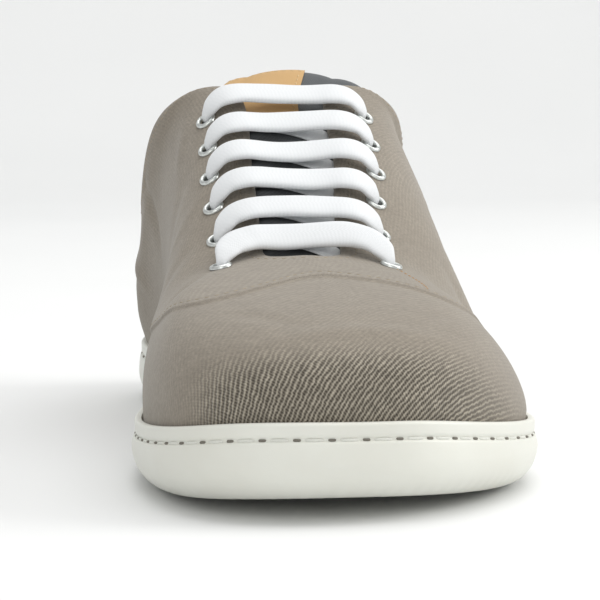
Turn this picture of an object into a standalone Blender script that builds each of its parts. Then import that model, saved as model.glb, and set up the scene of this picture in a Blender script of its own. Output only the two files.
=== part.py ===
"""Barefoot shoe for the left foot: a hollow canvas upper in a rubber cup sole.

Metres, +Z up. The toe points towards -Y and the big toe is on the -X side.
The origin is on the floor, under the middle of the sole.
"""

import math
from collections import namedtuple

import bmesh
import bpy
import numpy as np
from mathutils import Matrix, Vector

# Driving sizes
LENGTH = 0.285  # sole, toe to heel
BALL_WIDTH = 0.107  # sole, at its widest
INSTEP_HEIGHT = 0.0985  # floor to the top of the throat
HEEL_HEIGHT = 0.077  # floor to the back of the collar
SIDE_HEIGHT = 0.0167  # side wall of the sole at the ball
FIT_GAP = 0.0003  # between pieces that meet

# Sole
TOE_SPRING = 0.0062
SPRING_LENGTH = 0.070
ARCH_RISE = 0.0020
BASE_THICKNESS = 0.0045
LIP_HEIGHT = 0.0034
LIP_WIDTH = 0.0020
LIP_SETBACK = 0.0008
LIP_ROUND = 0.0006
GROOVE_DEPTH = 0.0008
GROOVE_HEIGHT = 0.0010
TURN_UNDER = 0.0085
TURN_HEIGHT = 0.0095
TURN_STEPS = 4

# Tread: wavy grooves across the forefoot and the heel
TREAD_DEPTH = 0.0012
TREAD_WIDTH = 0.0026
TREAD_PITCH = 0.0160
TREAD_WAVE = 0.0028
TREAD_BENDS = 7
TREAD_FIELDS = ((0.120, 5), (0.700, 5))  # first groove as a share of the length, grooves

# Upper
WALL = 0.0018
QUARTER_STEP = 0.0007
SEAM_RAMP = 0.008  # share of a rib that the step takes

# Insole
INSOLE_THICKNESS = 0.0035

# Eyelets
EYELETS_A_SIDE = 6
EYELET_FIRST = 0.3526 * LENGTH  # toe to the first one's place on the throat's edge
EYELET_PITCH = 0.0481 * LENGTH
EYELET_SETBACK = 0.0110  # throat's edge to the centre
EYELET_FIRST_SETBACK = 0.0138  # the same for the pair at the front
EYELET_BORE = 0.0017
EYELET_BARREL = 0.0021
EYELET_FLANGE = 0.0031
EYELET_CROWN = 0.0009
EYELET_SEGMENTS = 10

# Laces
LACE_WIDTH = 0.0096
LACE_THICKNESS = 0.0026
LACE_LIFT = 0.0030  # upper's surface to the middle of the lace
LACE_SHOULDER = 0.0036  # how far a bar stands up near its ends
LACE_BOW = 0.0038  # how far the middle of a bar lies up the throat
LACE_FLAT = 0.72  # flat share of a bar's width, between its rounded edges

# Tongue and its tab
TONGUE_GAP = 0.0010  # between the tongue and the wall that it lies under
TONGUE_THICKNESS = 0.0035
TONGUE_SIDE = 0.0160  # how far it lies under each quarter
TONGUE_FRONT = 0.0080  # how far it lies under the vamp
TONGUE_CROWN = 0.0020
TONGUE_RISE = 0.0168  # how far it stands out of the throat
TONGUE_LEAN = 0.0050  # how far its end lies to the lateral side
TONGUE_TAPER = 0.10  # share by which its end is narrower
TAB_THICKNESS = 0.0006

# How finely the curves are cut
RIBS_AROUND = 72
RINGS_BELOW_SEAM = 8
RINGS_ABOVE_SEAM = 6
SIDE_STEPS = 3  # of the tongue, under each quarter
LACE_END_STEPS = 2  # of a lace bar, over each quarter
BRIDGE_STEPS = 6  # across the open throat
TONGUE_ROWS = 9
TONGUE_END_ROWS = 3

# The upper hangs on ribs that run from the sole's rim to the edge of the opening. Going round
# from the toe by the medial side, each row gives the rib's foot and edge as shares of LENGTH and
# BALL_WIDTH, the rim's height as a share of SIDE_HEIGHT, and the edge's height as shares of
# INSTEP_HEIGHT and HEEL_HEIGHT. The rib leaves the rim upwards by rise (share of its climb) and
# outwards by flare (share of BALL_WIDTH). It meets the edge from reach outside it (share of
# BALL_WIDTH) and drop below it (share of its climb). The quarter's front seam crosses at seam.
Rib = namedtuple("Rib", "name along across rim edge_along edge_across instep heel rise flare reach drop seam")
RIBS = (
    Rib("toe", 0.005, -0.015, 1.46, 0.333, -0.045, 0.570, 0.000, 0.74, 0.028, 0.579, 0.23, 0.846),
    Rib("big toe", 0.004, -0.174, 1.47, 0.334, -0.085, 0.568, 0.000, 0.75, 0.028, 0.561, 0.24, 0.815),
    Rib("toe corner", 0.032, -0.347, 1.41, 0.340, -0.122, 0.566, 0.000, 0.68, 0.037, 0.486, 0.24, 0.650),
    Rib("toe side", 0.112, -0.473, 1.21, 0.353, -0.148, 0.570, 0.000, 0.62, 0.037, 0.310, 0.19, 0.520),
    Rib("ball", 0.263, -0.501, 0.985, 0.382, -0.153, 0.607, 0.000, 0.56, 0.019, 0.212, 0.15, 0.360),
    Rib("waist", 0.407, -0.435, 0.96, 0.442, -0.142, 0.705, 0.000, 0.58, 0.006, 0.205, 0.06, 0.200),
    Rib("arch", 0.540, -0.356, 1.00, 0.526, -0.130, 0.838, 0.000, 0.57, 0.020, 0.224, 0.02, 0.120),
    Rib("instep", 0.653, -0.328, 1.04, 0.628, -0.132, 1.000, 0.000, 0.52, 0.030, 0.224, 0.01, 0.160),
    Rib("shoulder", 0.723, -0.333, 1.07, 0.663, -0.270, 0.980, 0.000, 0.51, 0.028, 0.075, 0.05, 0.200),
    Rib("ankle front", 0.786, -0.347, 1.10, 0.712, -0.345, 0.452, 0.500, 0.48, 0.034, -0.003, 0.22, 0.250),
    Rib("ankle", 0.856, -0.347, 1.14, 0.789, -0.348, 0.000, 0.844, 0.34, 0.064, -0.012, 0.35, 0.300),
    Rib("ankle back", 0.926, -0.286, 1.17, 0.874, -0.308, 0.000, 0.840, 0.36, 0.070, -0.008, 0.41, 0.300),
    Rib("heel side", 0.977, -0.160, 1.19, 0.933, -0.183, 0.000, 0.935, 0.38, 0.056, -0.018, 0.42, 0.300),
    Rib("heel", 0.995, -0.015, 1.20, 0.951, -0.015, 0.000, 1.000, 0.35, 0.052, -0.026, 0.44, 0.300),
    Rib("outer heel side", 0.977, 0.130, 1.19, 0.933, 0.153, 0.000, 0.935, 0.38, 0.056, -0.018, 0.42, 0.300),
    Rib("outer ankle back", 0.926, 0.252, 1.17, 0.874, 0.289, 0.000, 0.840, 0.45, 0.060, 0.000, 0.41, 0.300),
    Rib("outer ankle", 0.853, 0.322, 1.14, 0.789, 0.354, 0.000, 0.831, 0.44, 0.056, 0.009, 0.36, 0.300),
    Rib("outer ankle front", 0.779, 0.336, 1.10, 0.712, 0.378, 0.452, 0.500, 0.50, 0.056, 0.019, 0.22, 0.250),
    Rib("outer shoulder", 0.709, 0.345, 1.06, 0.663, 0.292, 0.985, 0.000, 0.48, 0.065, 0.084, 0.05, 0.200),
    Rib("outer instep", 0.635, 0.368, 1.04, 0.628, 0.140, 1.000, 0.000, 0.47, 0.065, 0.280, 0.01, 0.160),
    Rib("outer waist", 0.533, 0.420, 1.00, 0.526, 0.116, 0.838, 0.000, 0.51, 0.056, 0.290, 0.03, 0.120),
    Rib("outer mid", 0.425, 0.471, 0.95, 0.442, 0.085, 0.705, 0.000, 0.41, 0.026, 0.300, 0.06, 0.200),
    Rib("outer ball", 0.309, 0.504, 0.94, 0.382, 0.073, 0.607, 0.000, 0.22, 0.016, 0.256, 0.09, 0.360),
    Rib("outer toe side", 0.175, 0.453, 1.06, 0.353, 0.060, 0.570, 0.000, 0.28, 0.024, 0.332, 0.15, 0.540),
    Rib("outer toe corner", 0.070, 0.284, 1.28, 0.340, 0.020, 0.566, 0.000, 0.52, 0.028, 0.480, 0.22, 0.650),
    Rib("little toe", 0.019, 0.121, 1.43, 0.334, -0.010, 0.568, 0.000, 0.67, 0.028, 0.561, 0.23, 0.792),
)
ROWS = len(RIBS)
SEAM_FOOT = 5.3  # row at which the quarter's front seam runs down to the sole
THROAT_TOP = 7.0  # row of the throat's upper corner
ARCH_MIDDLE = 0.58  # of the length
ARCH_SPAN = 0.15
CUP_INSET = LIP_SETBACK + LIP_WIDTH  # widest line of the sole to its inner wall


def clear_scene():
    for thing in list(bpy.data.objects):
        bpy.data.objects.remove(thing, do_unlink=True)


def make_material(name, colour, roughness, metallic=0.0):
    material = bpy.data.materials.new(name)
    material.use_nodes = True
    shader = material.node_tree.nodes["Principled BSDF"]
    shader.inputs["Base Color"].default_value = (*colour, 1.0)
    shader.inputs["Roughness"].default_value = roughness
    shader.inputs["Metallic"].default_value = metallic
    material.diffuse_color = (*colour, 1.0)
    return material


# Curves round the shoe


def closed_curve(values, at):
    """A smooth closed curve through one value a row, read at row numbers."""
    values = np.asarray(values, float)
    one = np.eye(len(values))
    system = 4 * one + np.roll(one, 1, 0) + np.roll(one, -1, 0)
    bend = np.linalg.solve(system, 6 * (np.roll(values, 1) - 2 * values + np.roll(values, -1)))
    low = np.floor(at).astype(int)
    after = at - low
    before = 1 - after
    low = low % len(values)
    high = (low + 1) % len(values)
    straight = before * values[low] + after * values[high]
    curved = (before**3 - before) * bend[low] + (after**3 - after) * bend[high]
    return straight + curved / 6


def column(name, at):
    return closed_curve([getattr(rib, name) for rib in RIBS], at)


def extent(name):
    values = column(name, np.linspace(0, ROWS, 2000, endpoint=False))
    return values.min(), values.max()


ALONG_EXTENT = extent("along")
ACROSS_EXTENT = extent("across")


def plan(along, across):
    """Places on the floor plan, so that the sole's outline just fills its length and width."""
    x = (across - ACROSS_EXTENT[0]) / (ACROSS_EXTENT[1] - ACROSS_EXTENT[0]) - 0.5
    y = (along - ALONG_EXTENT[0]) / (ALONG_EXTENT[1] - ALONG_EXTENT[0]) - 0.5
    return x * BALL_WIDTH, y * LENGTH


def outline(at):
    return plan(column("along", at), column("across", at))


def outward(at):
    """Unit normals of the outline on the floor plan."""
    step = 0.01
    before_x, before_y = outline(at - step)
    after_x, after_y = outline(at + step)
    x, y = before_y - after_y, after_x - before_x
    size = np.hypot(x, y)
    return x / size, y / size


def inset_outline(at, inset):
    x, y = outline(at)
    out_x, out_y = outward(at)
    return x - inset * out_x, y - inset * out_y


def rim_height(at):
    return column("rim", at) * SIDE_HEIGHT


def ground(x, y):
    """Height of the sole's underside: toe spring at the front and a slight medial arch."""
    from_toe = y + LENGTH / 2
    spring = TOE_SPRING * np.clip(1 - from_toe / SPRING_LENGTH, 0, None) ** 2
    middle = np.clip(1 - ((from_toe / LENGTH - ARCH_MIDDLE) / ARCH_SPAN) ** 2, 0, None) ** 2
    medial = np.clip(-3 * x / BALL_WIDTH, 0, 1) ** 2
    return spring + ARCH_RISE * middle * medial


def base_top(x, y):
    return ground(x, y) + BASE_THICKNESS


# The upper's surface


def surface(at, share):
    """Points on the upper's ribs: share 0 at the sole's rim and 1 at the opening's edge."""
    rim = rim_height(at)
    foot_x, foot_y = inset_outline(at, CUP_INSET + FIT_GAP)
    edge_x, edge_y = plan(column("edge_along", at), column("edge_across", at))
    edge_z = column("instep", at) * INSTEP_HEIGHT + column("heel", at) * HEEL_HEIGHT
    climb = edge_z - rim
    out_x, out_y = outward(at)
    flare = column("flare", at) * BALL_WIDTH
    reach = column("reach", at) * BALL_WIDTH
    foot = np.stack([foot_x, foot_y, rim], -1)
    edge = np.stack([edge_x, edge_y, edge_z], -1)
    above_foot = foot + np.stack([out_x * flare, out_y * flare, column("rise", at) * climb], -1)
    below_edge = edge + np.stack([out_x * reach, out_y * reach, -column("drop", at) * climb], -1)
    share = share[..., None]
    left = 1 - share
    near_foot = left**3 * foot + 3 * left**2 * share * above_foot
    return near_foot + 3 * left * share**2 * below_edge + share**3 * edge


def surface_normal(at, share):
    step = 0.004
    around = surface(at + step, share) - surface(at - step, share)
    upwards = surface(at, share + step) - surface(at, share - step)
    normal = np.cross(upwards, around)
    return normal / np.linalg.norm(normal, axis=-1, keepdims=True)


def share_below_edge(at, depth):
    """The share of each rib that lies a given length below the opening's edge."""
    shares = np.linspace(1.0, 0.3, 80)
    points = surface(at, np.repeat(shares[:, None], len(at), 1))
    steps = np.linalg.norm(np.diff(points, axis=0), axis=-1)
    lengths = np.vstack([np.zeros(len(at)), np.cumsum(steps, axis=0)])
    return np.array([np.interp(depth[i], lengths[:, i], shares) for i in range(len(at))])


def quarter_cover(at):
    """1 where the quarter reaches down to the sole and 0 where the vamp does."""
    from_toe = np.minimum(at % ROWS, ROWS - at % ROWS)
    return np.clip((from_toe - SEAM_FOOT) * 8 + 0.5, 0, 1)


# Meshes


def join_rings(faces, first, second, count):
    for i in range(count):
        j = (i + 1) % count
        faces.append((first + i, first + j, second + j, second + i))


def add_ladder(points, faces, first, height, columns):
    """Closes a ring with rows that run from its medial to its lateral side."""
    rows = [[first]]
    for i in range(1, RIBS_AROUND // 2):
        left = points[first + i]
        right = points[first + RIBS_AROUND - i]
        row = [first + i]
        for k in range(1, columns):
            x, y = left[:2] + (right[:2] - left[:2]) * k / columns
            row.append(len(points))
            points.append(np.array([x, y, height(x, y)]))
        rows.append(row + [first + RIBS_AROUND - i])
    rows.append([first + RIBS_AROUND // 2])
    for one, two in zip(rows, rows[1:]):
        if len(one) == 1:
            faces += [(one[0], two[k], two[k + 1]) for k in range(columns)]
        elif len(two) == 1:
            faces += [(one[k], one[k + 1], two[0]) for k in range(columns)]
        else:
            faces += [(one[k], one[k + 1], two[k + 1], two[k]) for k in range(columns)]


def make_mesh(name, points, faces, sharp_degrees=40):
    mesh = bpy.data.meshes.new(name)
    mesh.from_pydata([tuple(point) for point in points], [], faces)
    work = bmesh.new()
    work.from_mesh(mesh)
    bmesh.ops.remove_doubles(work, verts=work.verts, dist=1e-6)
    bmesh.ops.recalc_face_normals(work, faces=work.faces)
    if work.calc_volume(signed=True) < 0:
        bmesh.ops.reverse_faces(work, faces=work.faces)
    work.to_mesh(mesh)
    work.free()
    mesh.shade_smooth()
    mesh.set_sharp_from_angle(angle=math.radians(sharp_degrees))
    return mesh


def add_object(name, mesh, material=None):
    thing = bpy.data.objects.new(name, mesh)
    bpy.context.scene.collection.objects.link(thing)
    if material and not mesh.materials:
        mesh.materials.append(material)
    return thing


def cut(thing, cutter):
    cutter.hide_render = True
    cutter.display_type = "WIRE"
    boolean = thing.modifiers.new(cutter.name, "BOOLEAN")
    boolean.operation = "DIFFERENCE"
    boolean.solver = "EXACT"
    boolean.object = cutter


def sheet_mesh(name, top, bottom, folded_start=False):
    """A closed sheet between two grids. A folded start joins its own two halves there."""
    rows, columns = top.shape[:2]
    points = list(top.reshape(-1, 3)) + list(bottom.reshape(-1, 3))
    under = rows * columns
    faces = []
    for i in range(rows - 1):
        for j in range(columns - 1):
            a = i * columns + j
            b = a + columns
            faces.append((a, a + 1, b + 1, b))
            faces.append((under + a, under + b, under + b + 1, under + a + 1))
    for i in range(rows - 1):
        for a in (i * columns, i * columns + columns - 1):
            faces.append((a, a + columns, under + a + columns, under + a))
    ends = [rows - 1] if folded_start else [0, rows - 1]
    for i in ends:
        for j in range(columns - 1):
            a = i * columns + j
            faces.append((a, a + 1, under + a + 1, under + a))
    return make_mesh(name, points, faces)


def rib_places():
    return np.arange(RIBS_AROUND) * ROWS / RIBS_AROUND


# Sole


def sole_side(at):
    """Rings up the outer wall, over the lip and down into the cup, as (inset, height)."""
    rim = rim_height(at)
    foot_x, foot_y = inset_outline(at, TURN_UNDER)
    floor = ground(foot_x, foot_y)
    rings = []
    for k in range(TURN_STEPS + 1):
        turn = math.radians(90 - 90 * k / TURN_STEPS)
        rings.append((TURN_UNDER * (1 - math.cos(turn)), floor + TURN_HEIGHT * (1 - math.sin(turn))))
    groove_top = rim - LIP_HEIGHT
    groove_inset = LIP_SETBACK + GROOVE_DEPTH
    rings.append((LIP_SETBACK / 2, groove_top - 2 * GROOVE_HEIGHT))
    rings.append((groove_inset, groove_top - GROOVE_HEIGHT))
    rings.append((groove_inset, groove_top))
    rings.append((LIP_SETBACK, groove_top + GROOVE_HEIGHT / 2))
    rings.append((LIP_SETBACK, rim - LIP_ROUND))
    rings.append((LIP_SETBACK + LIP_ROUND, rim))
    rings.append((CUP_INSET, rim))
    return rings


def add_sole(material):
    at = rib_places()
    points = []
    faces = []
    for inset, height in sole_side(at):
        x, y = inset_outline(at, inset)
        points += list(np.stack([x, y, height], -1))
    x, y = inset_outline(at, CUP_INSET)
    points += list(np.stack([x, y, base_top(x, y)], -1))
    rings = len(points) // RIBS_AROUND
    for k in range(rings - 1):
        join_rings(faces, k * RIBS_AROUND, (k + 1) * RIBS_AROUND, RIBS_AROUND)
    add_ladder(points, faces, 0, ground, 4)
    add_ladder(points, faces, (rings - 1) * RIBS_AROUND, base_top, 4)
    sole = add_object("sole", make_mesh("sole", points, faces), material)
    cut(sole, add_tread_cutter())
    return sole


def add_tread_cutter():
    points = []
    faces = []
    for first, count in TREAD_FIELDS:
        for k in range(count):
            add_groove(points, faces, first * LENGTH - LENGTH / 2 + k * TREAD_PITCH)
    return add_object("tread_cutter", make_mesh("tread_cutter", points, faces))


def add_groove(points, faces, middle):
    """One zigzag bar across the sole, with its top as high as the groove is deep."""
    below = 0.005
    sections = []
    for k in range(TREAD_BENDS + 2):
        x = BALL_WIDTH * 1.1 * (k / (TREAD_BENDS + 1) - 0.5)
        y = middle + TREAD_WAVE * (-1) ** k / 2
        top = float(ground(0.0, y)) + TREAD_DEPTH
        near = y - TREAD_WIDTH / 2
        far = y + TREAD_WIDTH / 2
        sections.append(len(points))
        points += [(x, near, -below), (x, far, -below), (x, far, top), (x, near, top)]
    for one, two in zip(sections, sections[1:]):
        for j in range(4):
            n = (j + 1) % 4
            faces.append((one + j, one + n, two + n, two + j))
    faces.append(tuple(sections[0] + j for j in range(4)))
    faces.append(tuple(sections[-1] + j for j in range(4)))


# Insole


def add_insole(material):
    at = rib_places()
    x, y = inset_outline(at, CUP_INSET + WALL + 2 * FIT_GAP)

    def underside(x, y):
        return base_top(x, y) + FIT_GAP

    def topside(x, y):
        return underside(x, y) + INSOLE_THICKNESS

    points = list(np.stack([x, y, underside(x, y)], -1)) + list(np.stack([x, y, topside(x, y)], -1))
    faces = []
    join_rings(faces, 0, RIBS_AROUND, RIBS_AROUND)
    add_ladder(points, faces, 0, underside, 2)
    add_ladder(points, faces, RIBS_AROUND, topside, 2)
    return add_object("insole", make_mesh("insole", points, faces), material)


# Upper


def rib_shares(at):
    """Where the rings cross the ribs, with two rings at the quarter's front seam."""
    seam = column("seam", at)
    below = np.linspace(0, 1, RINGS_BELOW_SEAM + 1)[:, None] * (seam - SEAM_RAMP / 2)
    above = 1 - np.linspace(1, 0, RINGS_ABOVE_SEAM + 1)[:, None] * (1 - seam - SEAM_RAMP / 2)
    return below, above


def add_upper(material):
    at = rib_places()
    below, above = rib_shares(at)
    shares = np.vstack([below, above])
    cover = np.vstack([np.repeat(quarter_cover(at)[None], len(below), 0), np.ones_like(above)])
    middle = surface(at, shares)
    normal = surface_normal(at, shares)
    normal[0] = np.stack([*outward(at), np.zeros(RIBS_AROUND)], -1)
    cover[0] = 0
    outer = middle + normal * (QUARTER_STEP * cover)[..., None]
    inner = middle - normal * WALL
    foot_outside = outer[0].copy()
    foot_inside = inner[0].copy()
    for foot in (foot_outside, foot_inside):
        foot[:, 2] = base_top(outer[0][:, 0], outer[0][:, 1]) + FIT_GAP
    rings = [foot_outside, *outer, *inner[::-1], foot_inside]
    faces = []
    for k in range(len(rings)):
        join_rings(faces, k * RIBS_AROUND, (k + 1) % len(rings) * RIBS_AROUND, RIBS_AROUND)
    upper = add_object("upper", make_mesh("upper", np.vstack(rings), faces), material)
    cut(upper, add_eyelet_cutter())
    return upper


# Eyelets


def edge_row(from_toe):
    """The row whose rib meets the throat's edge at a distance from the toe."""
    rows = np.linspace(1.5, THROAT_TOP, 200)
    along = plan(column("edge_along", rows), 0)[1] + LENGTH / 2
    return float(np.interp(from_toe, along, rows))


def eyelet_rows():
    return [edge_row(EYELET_FIRST + k * EYELET_PITCH) for k in range(EYELETS_A_SIDE)]


def eyelet_frames():
    """Places on the quarters' surface, first up the medial side and then up the lateral."""
    frames = []
    for side_sign in (1, -1):
        at = np.array([side_sign * row % ROWS for row in eyelet_rows()])
        depths = [EYELET_FIRST_SETBACK] + [EYELET_SETBACK] * (EYELETS_A_SIDE - 1)
        share = share_below_edge(at, depths)
        for place, normal in zip(surface(at, share), surface_normal(at, share)):
            turn = Vector(normal).to_track_quat("Z", "Y").to_matrix().to_4x4()
            frames.append(Matrix.Translation(place) @ turn)
    return frames


def ring_mesh(name, profile, segments):
    """A profile of (radius, height) points turned about Z."""
    points = []
    faces = []
    for k in range(segments):
        turn = 2 * math.pi * k / segments
        points += [(r * math.cos(turn), r * math.sin(turn), z) for r, z in profile]
        for j in range(len(profile)):
            n = (j + 1) % len(profile)
            one = k * len(profile)
            two = (k + 1) % segments * len(profile)
            faces.append((one + j, one + n, two + n, two + j))
    return make_mesh(name, points, faces, 50)


def add_eyelets(material):
    seat = QUARTER_STEP + FIT_GAP
    end = FIT_GAP - WALL
    profile = (
        (EYELET_BORE, end),
        (EYELET_BARREL, end),
        (EYELET_BARREL, seat),
        (EYELET_FLANGE, seat),
        (EYELET_FLANGE, seat + EYELET_CROWN / 2),
        (EYELET_BORE, seat + EYELET_CROWN),
    )
    mesh = ring_mesh("eyelet", profile, EYELET_SEGMENTS)
    for number, frame in enumerate(eyelet_frames(), 1):
        eyelet = add_object(f"eyelet_{number}", mesh, material)
        eyelet.matrix_world = frame


def add_eyelet_cutter():
    work = bmesh.new()
    for frame in eyelet_frames():
        bmesh.ops.create_cone(
            work,
            cap_ends=True,
            segments=EYELET_SEGMENTS,
            radius1=EYELET_BARREL + FIT_GAP,
            radius2=EYELET_BARREL + FIT_GAP,
            depth=6 * WALL,
            matrix=frame,
        )
    mesh = bpy.data.meshes.new("eyelet_cutter")
    work.to_mesh(mesh)
    work.free()
    return add_object("eyelet_cutter", mesh)


# What crosses the throat


def throat_row(row, depth, side_steps, bridge_steps):
    """Points and normals from one quarter, over the open throat, to the other quarter."""
    ends = np.array([row % ROWS, -row % ROWS])
    depths = np.linspace(depth, 0, side_steps + 1)
    sides = []
    for end in ends:
        at = np.full(len(depths), end)
        share = share_below_edge(at, depths)
        sides.append((surface(at, share), surface_normal(at, share)))
    edges = surface(ends, np.ones(2))
    before = surface(ends, np.full(2, 0.98))
    tangent = (edges - before) * (1, 0, 1)
    tangent /= np.linalg.norm(edges - before, axis=-1, keepdims=True)
    gap = 0.8 * np.linalg.norm(edges[1] - edges[0])
    t = np.linspace(0, 1, bridge_steps + 1)[1:-1, None]
    start = (1 + 2 * t) * (1 - t) ** 2 * edges[0] + t * (1 - t) ** 2 * gap * tangent[0]
    finish = t**2 * (3 - 2 * t) * edges[1] + t**2 * (1 - t) * gap * tangent[1]
    edge_normal = surface_normal(ends, np.ones(2))
    bridge_normal = (1 - t) * edge_normal[0] + t * edge_normal[1]
    bridge_normal /= np.linalg.norm(bridge_normal, axis=-1, keepdims=True)
    points = np.vstack([sides[0][0], start + finish, sides[1][0][::-1]])
    normals = np.vstack([sides[0][1], bridge_normal, sides[1][1][::-1]])
    return points, normals


def tongue_top():
    """The tongue's upper face: rows under the throat, then rows that stand out of it."""
    rows = []
    normals = []
    bridge = np.zeros(2 * SIDE_STEPS + BRIDGE_STEPS + 1)
    t = np.linspace(0, 1, BRIDGE_STEPS + 1)
    bridge[SIDE_STEPS : SIDE_STEPS + BRIDGE_STEPS + 1] = 4 * t * (1 - t)
    for k in range(TONGUE_ROWS + 1):
        row = THROAT_TOP * k / TONGUE_ROWS
        opened = min(1.0, row / 4)
        depth = TONGUE_FRONT + (TONGUE_SIDE - TONGUE_FRONT) * opened
        points, normal = throat_row(row, depth, SIDE_STEPS, BRIDGE_STEPS)
        lift = TONGUE_CROWN * opened * bridge - WALL - TONGUE_GAP
        rows.append(points + normal * lift[:, None])
        normals.append(normal)
    climb = (rows[-1][SIDE_STEPS] - rows[-2][SIDE_STEPS]) * (0, 1, 1)
    climb /= np.linalg.norm(climb)
    centre = rows[-1][:, 0].mean()
    last = rows[-1].copy()
    for k in range(1, TONGUE_END_ROWS + 1):
        out = k / TONGUE_END_ROWS
        points = last + climb * TONGUE_RISE * out
        points[:, 0] = centre + (points[:, 0] - centre) * (1 - TONGUE_TAPER * out**2) + TONGUE_LEAN * out
        rows.append(points)
        normals.append(normals[-1])
    return np.array(rows), np.array(normals)


def add_tongue(material):
    top, normal = tongue_top()
    mesh = sheet_mesh("tongue", top, top - normal * TONGUE_THICKNESS, folded_start=True)
    return add_object("tongue", mesh, material)


def add_tab(material):
    """A bare tab of cloth on the top of the tongue."""
    top, normal = tongue_top()
    rows = slice(TONGUE_ROWS, TONGUE_ROWS + TONGUE_END_ROWS + 1)
    columns = slice(SIDE_STEPS, SIDE_STEPS + BRIDGE_STEPS - 1)
    seat = top[rows, columns] + normal[rows, columns] * FIT_GAP
    mesh = sheet_mesh("tongue_label", seat + normal[rows, columns] * TAB_THICKNESS, seat)
    return add_object("tongue_label", mesh, material)


def add_laces(material):
    """Straight bars that end beside the eyelets, with their middles bowed up the throat."""
    side = (LACE_FLAT / 2, 0.5), (0.5, 0.0), (LACE_FLAT / 2, -0.5)
    section = side + tuple((-x, y) for x, y in reversed(side))
    for number, row in enumerate(eyelet_rows(), 1):
        setback = EYELET_FIRST_SETBACK if number == 1 else EYELET_SETBACK
        depth = setback - EYELET_FLANGE - 2 * FIT_GAP
        points, normals = throat_row(row, depth, LACE_END_STEPS, BRIDGE_STEPS)
        higher = edge_row(EYELET_FIRST + (number - 1) * EYELET_PITCH + LACE_BOW)
        out = np.abs(np.linspace(-1, 1, len(points)))[:, None]
        bow = 1 - out**8
        points = points + (throat_row(higher, depth, LACE_END_STEPS, BRIDGE_STEPS)[0] - points) * bow
        points = points + normals * (LACE_LIFT + LACE_SHOULDER * out**2 * bow)
        tangent = np.gradient(points, axis=0)
        tangent /= np.linalg.norm(tangent, axis=-1, keepdims=True)
        across = np.cross(tangent, normals)
        across /= np.linalg.norm(across, axis=-1, keepdims=True)
        rings = []
        for wide, thick in section:
            rings.append(points + across * wide * LACE_WIDTH + normals * thick * LACE_THICKNESS)
        rings = np.array(rings).transpose(1, 0, 2)
        faces = []
        size = len(section)
        for k in range(len(points) - 1):
            join_rings(faces, k * size, (k + 1) * size, size)
        faces.append(tuple(range(size)))
        faces.append(tuple((len(points) - 1) * size + j for j in range(size)))
        mesh = make_mesh(f"lace_bar_{number}", rings.reshape(-1, 3), faces)
        add_object(f"lace_bar_{number}", mesh, material)


def main():
    clear_scene()
    canvas = make_material("canvas", (0.36, 0.32, 0.26), 0.9)
    rubber = make_material("rubber", (0.80, 0.79, 0.74), 0.5)
    footbed = make_material("footbed", (0.30, 0.27, 0.22), 0.9)
    tongue_cloth = make_material("tongue_cloth", (0.16, 0.16, 0.16), 0.9)
    tan_cloth = make_material("tan_cloth", (0.55, 0.38, 0.20), 0.8)
    metal = make_material("eyelet_metal", (0.75, 0.76, 0.74), 0.3, 1.0)
    cotton = make_material("cotton", (0.85, 0.86, 0.86), 0.9)
    add_sole(rubber)
    add_upper(canvas)
    add_insole(footbed)
    add_tongue(tongue_cloth)
    add_tab(tan_cloth)
    add_eyelets(metal)
    add_laces(cotton)


main()
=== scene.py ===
"""Looks of the barefoot shoe: twill canvas, moulded rubber, flat laces and stitches.

Metres, +Z up. The toe points towards -Y and the big toe is on the -X side.
"""

from collections import namedtuple
from math import cos, pi, radians, sin

import bmesh
import bpy
import numpy as np
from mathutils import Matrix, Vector


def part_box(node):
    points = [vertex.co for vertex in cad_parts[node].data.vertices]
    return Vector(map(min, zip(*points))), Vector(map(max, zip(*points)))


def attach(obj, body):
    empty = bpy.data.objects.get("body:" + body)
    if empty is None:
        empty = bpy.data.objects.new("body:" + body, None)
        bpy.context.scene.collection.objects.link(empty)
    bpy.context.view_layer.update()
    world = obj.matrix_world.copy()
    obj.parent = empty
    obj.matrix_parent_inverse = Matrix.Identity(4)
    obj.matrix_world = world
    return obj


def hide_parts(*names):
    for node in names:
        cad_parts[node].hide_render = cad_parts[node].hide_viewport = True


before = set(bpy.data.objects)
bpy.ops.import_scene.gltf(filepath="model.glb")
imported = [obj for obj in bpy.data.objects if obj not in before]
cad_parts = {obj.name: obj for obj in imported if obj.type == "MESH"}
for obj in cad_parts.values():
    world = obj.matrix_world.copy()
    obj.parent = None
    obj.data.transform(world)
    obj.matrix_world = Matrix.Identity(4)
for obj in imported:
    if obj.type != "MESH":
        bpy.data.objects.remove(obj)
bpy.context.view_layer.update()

# Driving sizes
SOLE_LOW, SOLE_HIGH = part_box("sole")
LENGTH = SOLE_HIGH.y - SOLE_LOW.y
BALL_WIDTH = SOLE_HIGH.x - SOLE_LOW.x
INSTEP_HEIGHT = 0.0985  # floor to the top of the throat
HEEL_HEIGHT = 0.077  # floor to the back of the collar
SIDE_HEIGHT = 0.0167  # side wall of the sole at the ball
FIT_GAP = 0.0003

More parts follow.
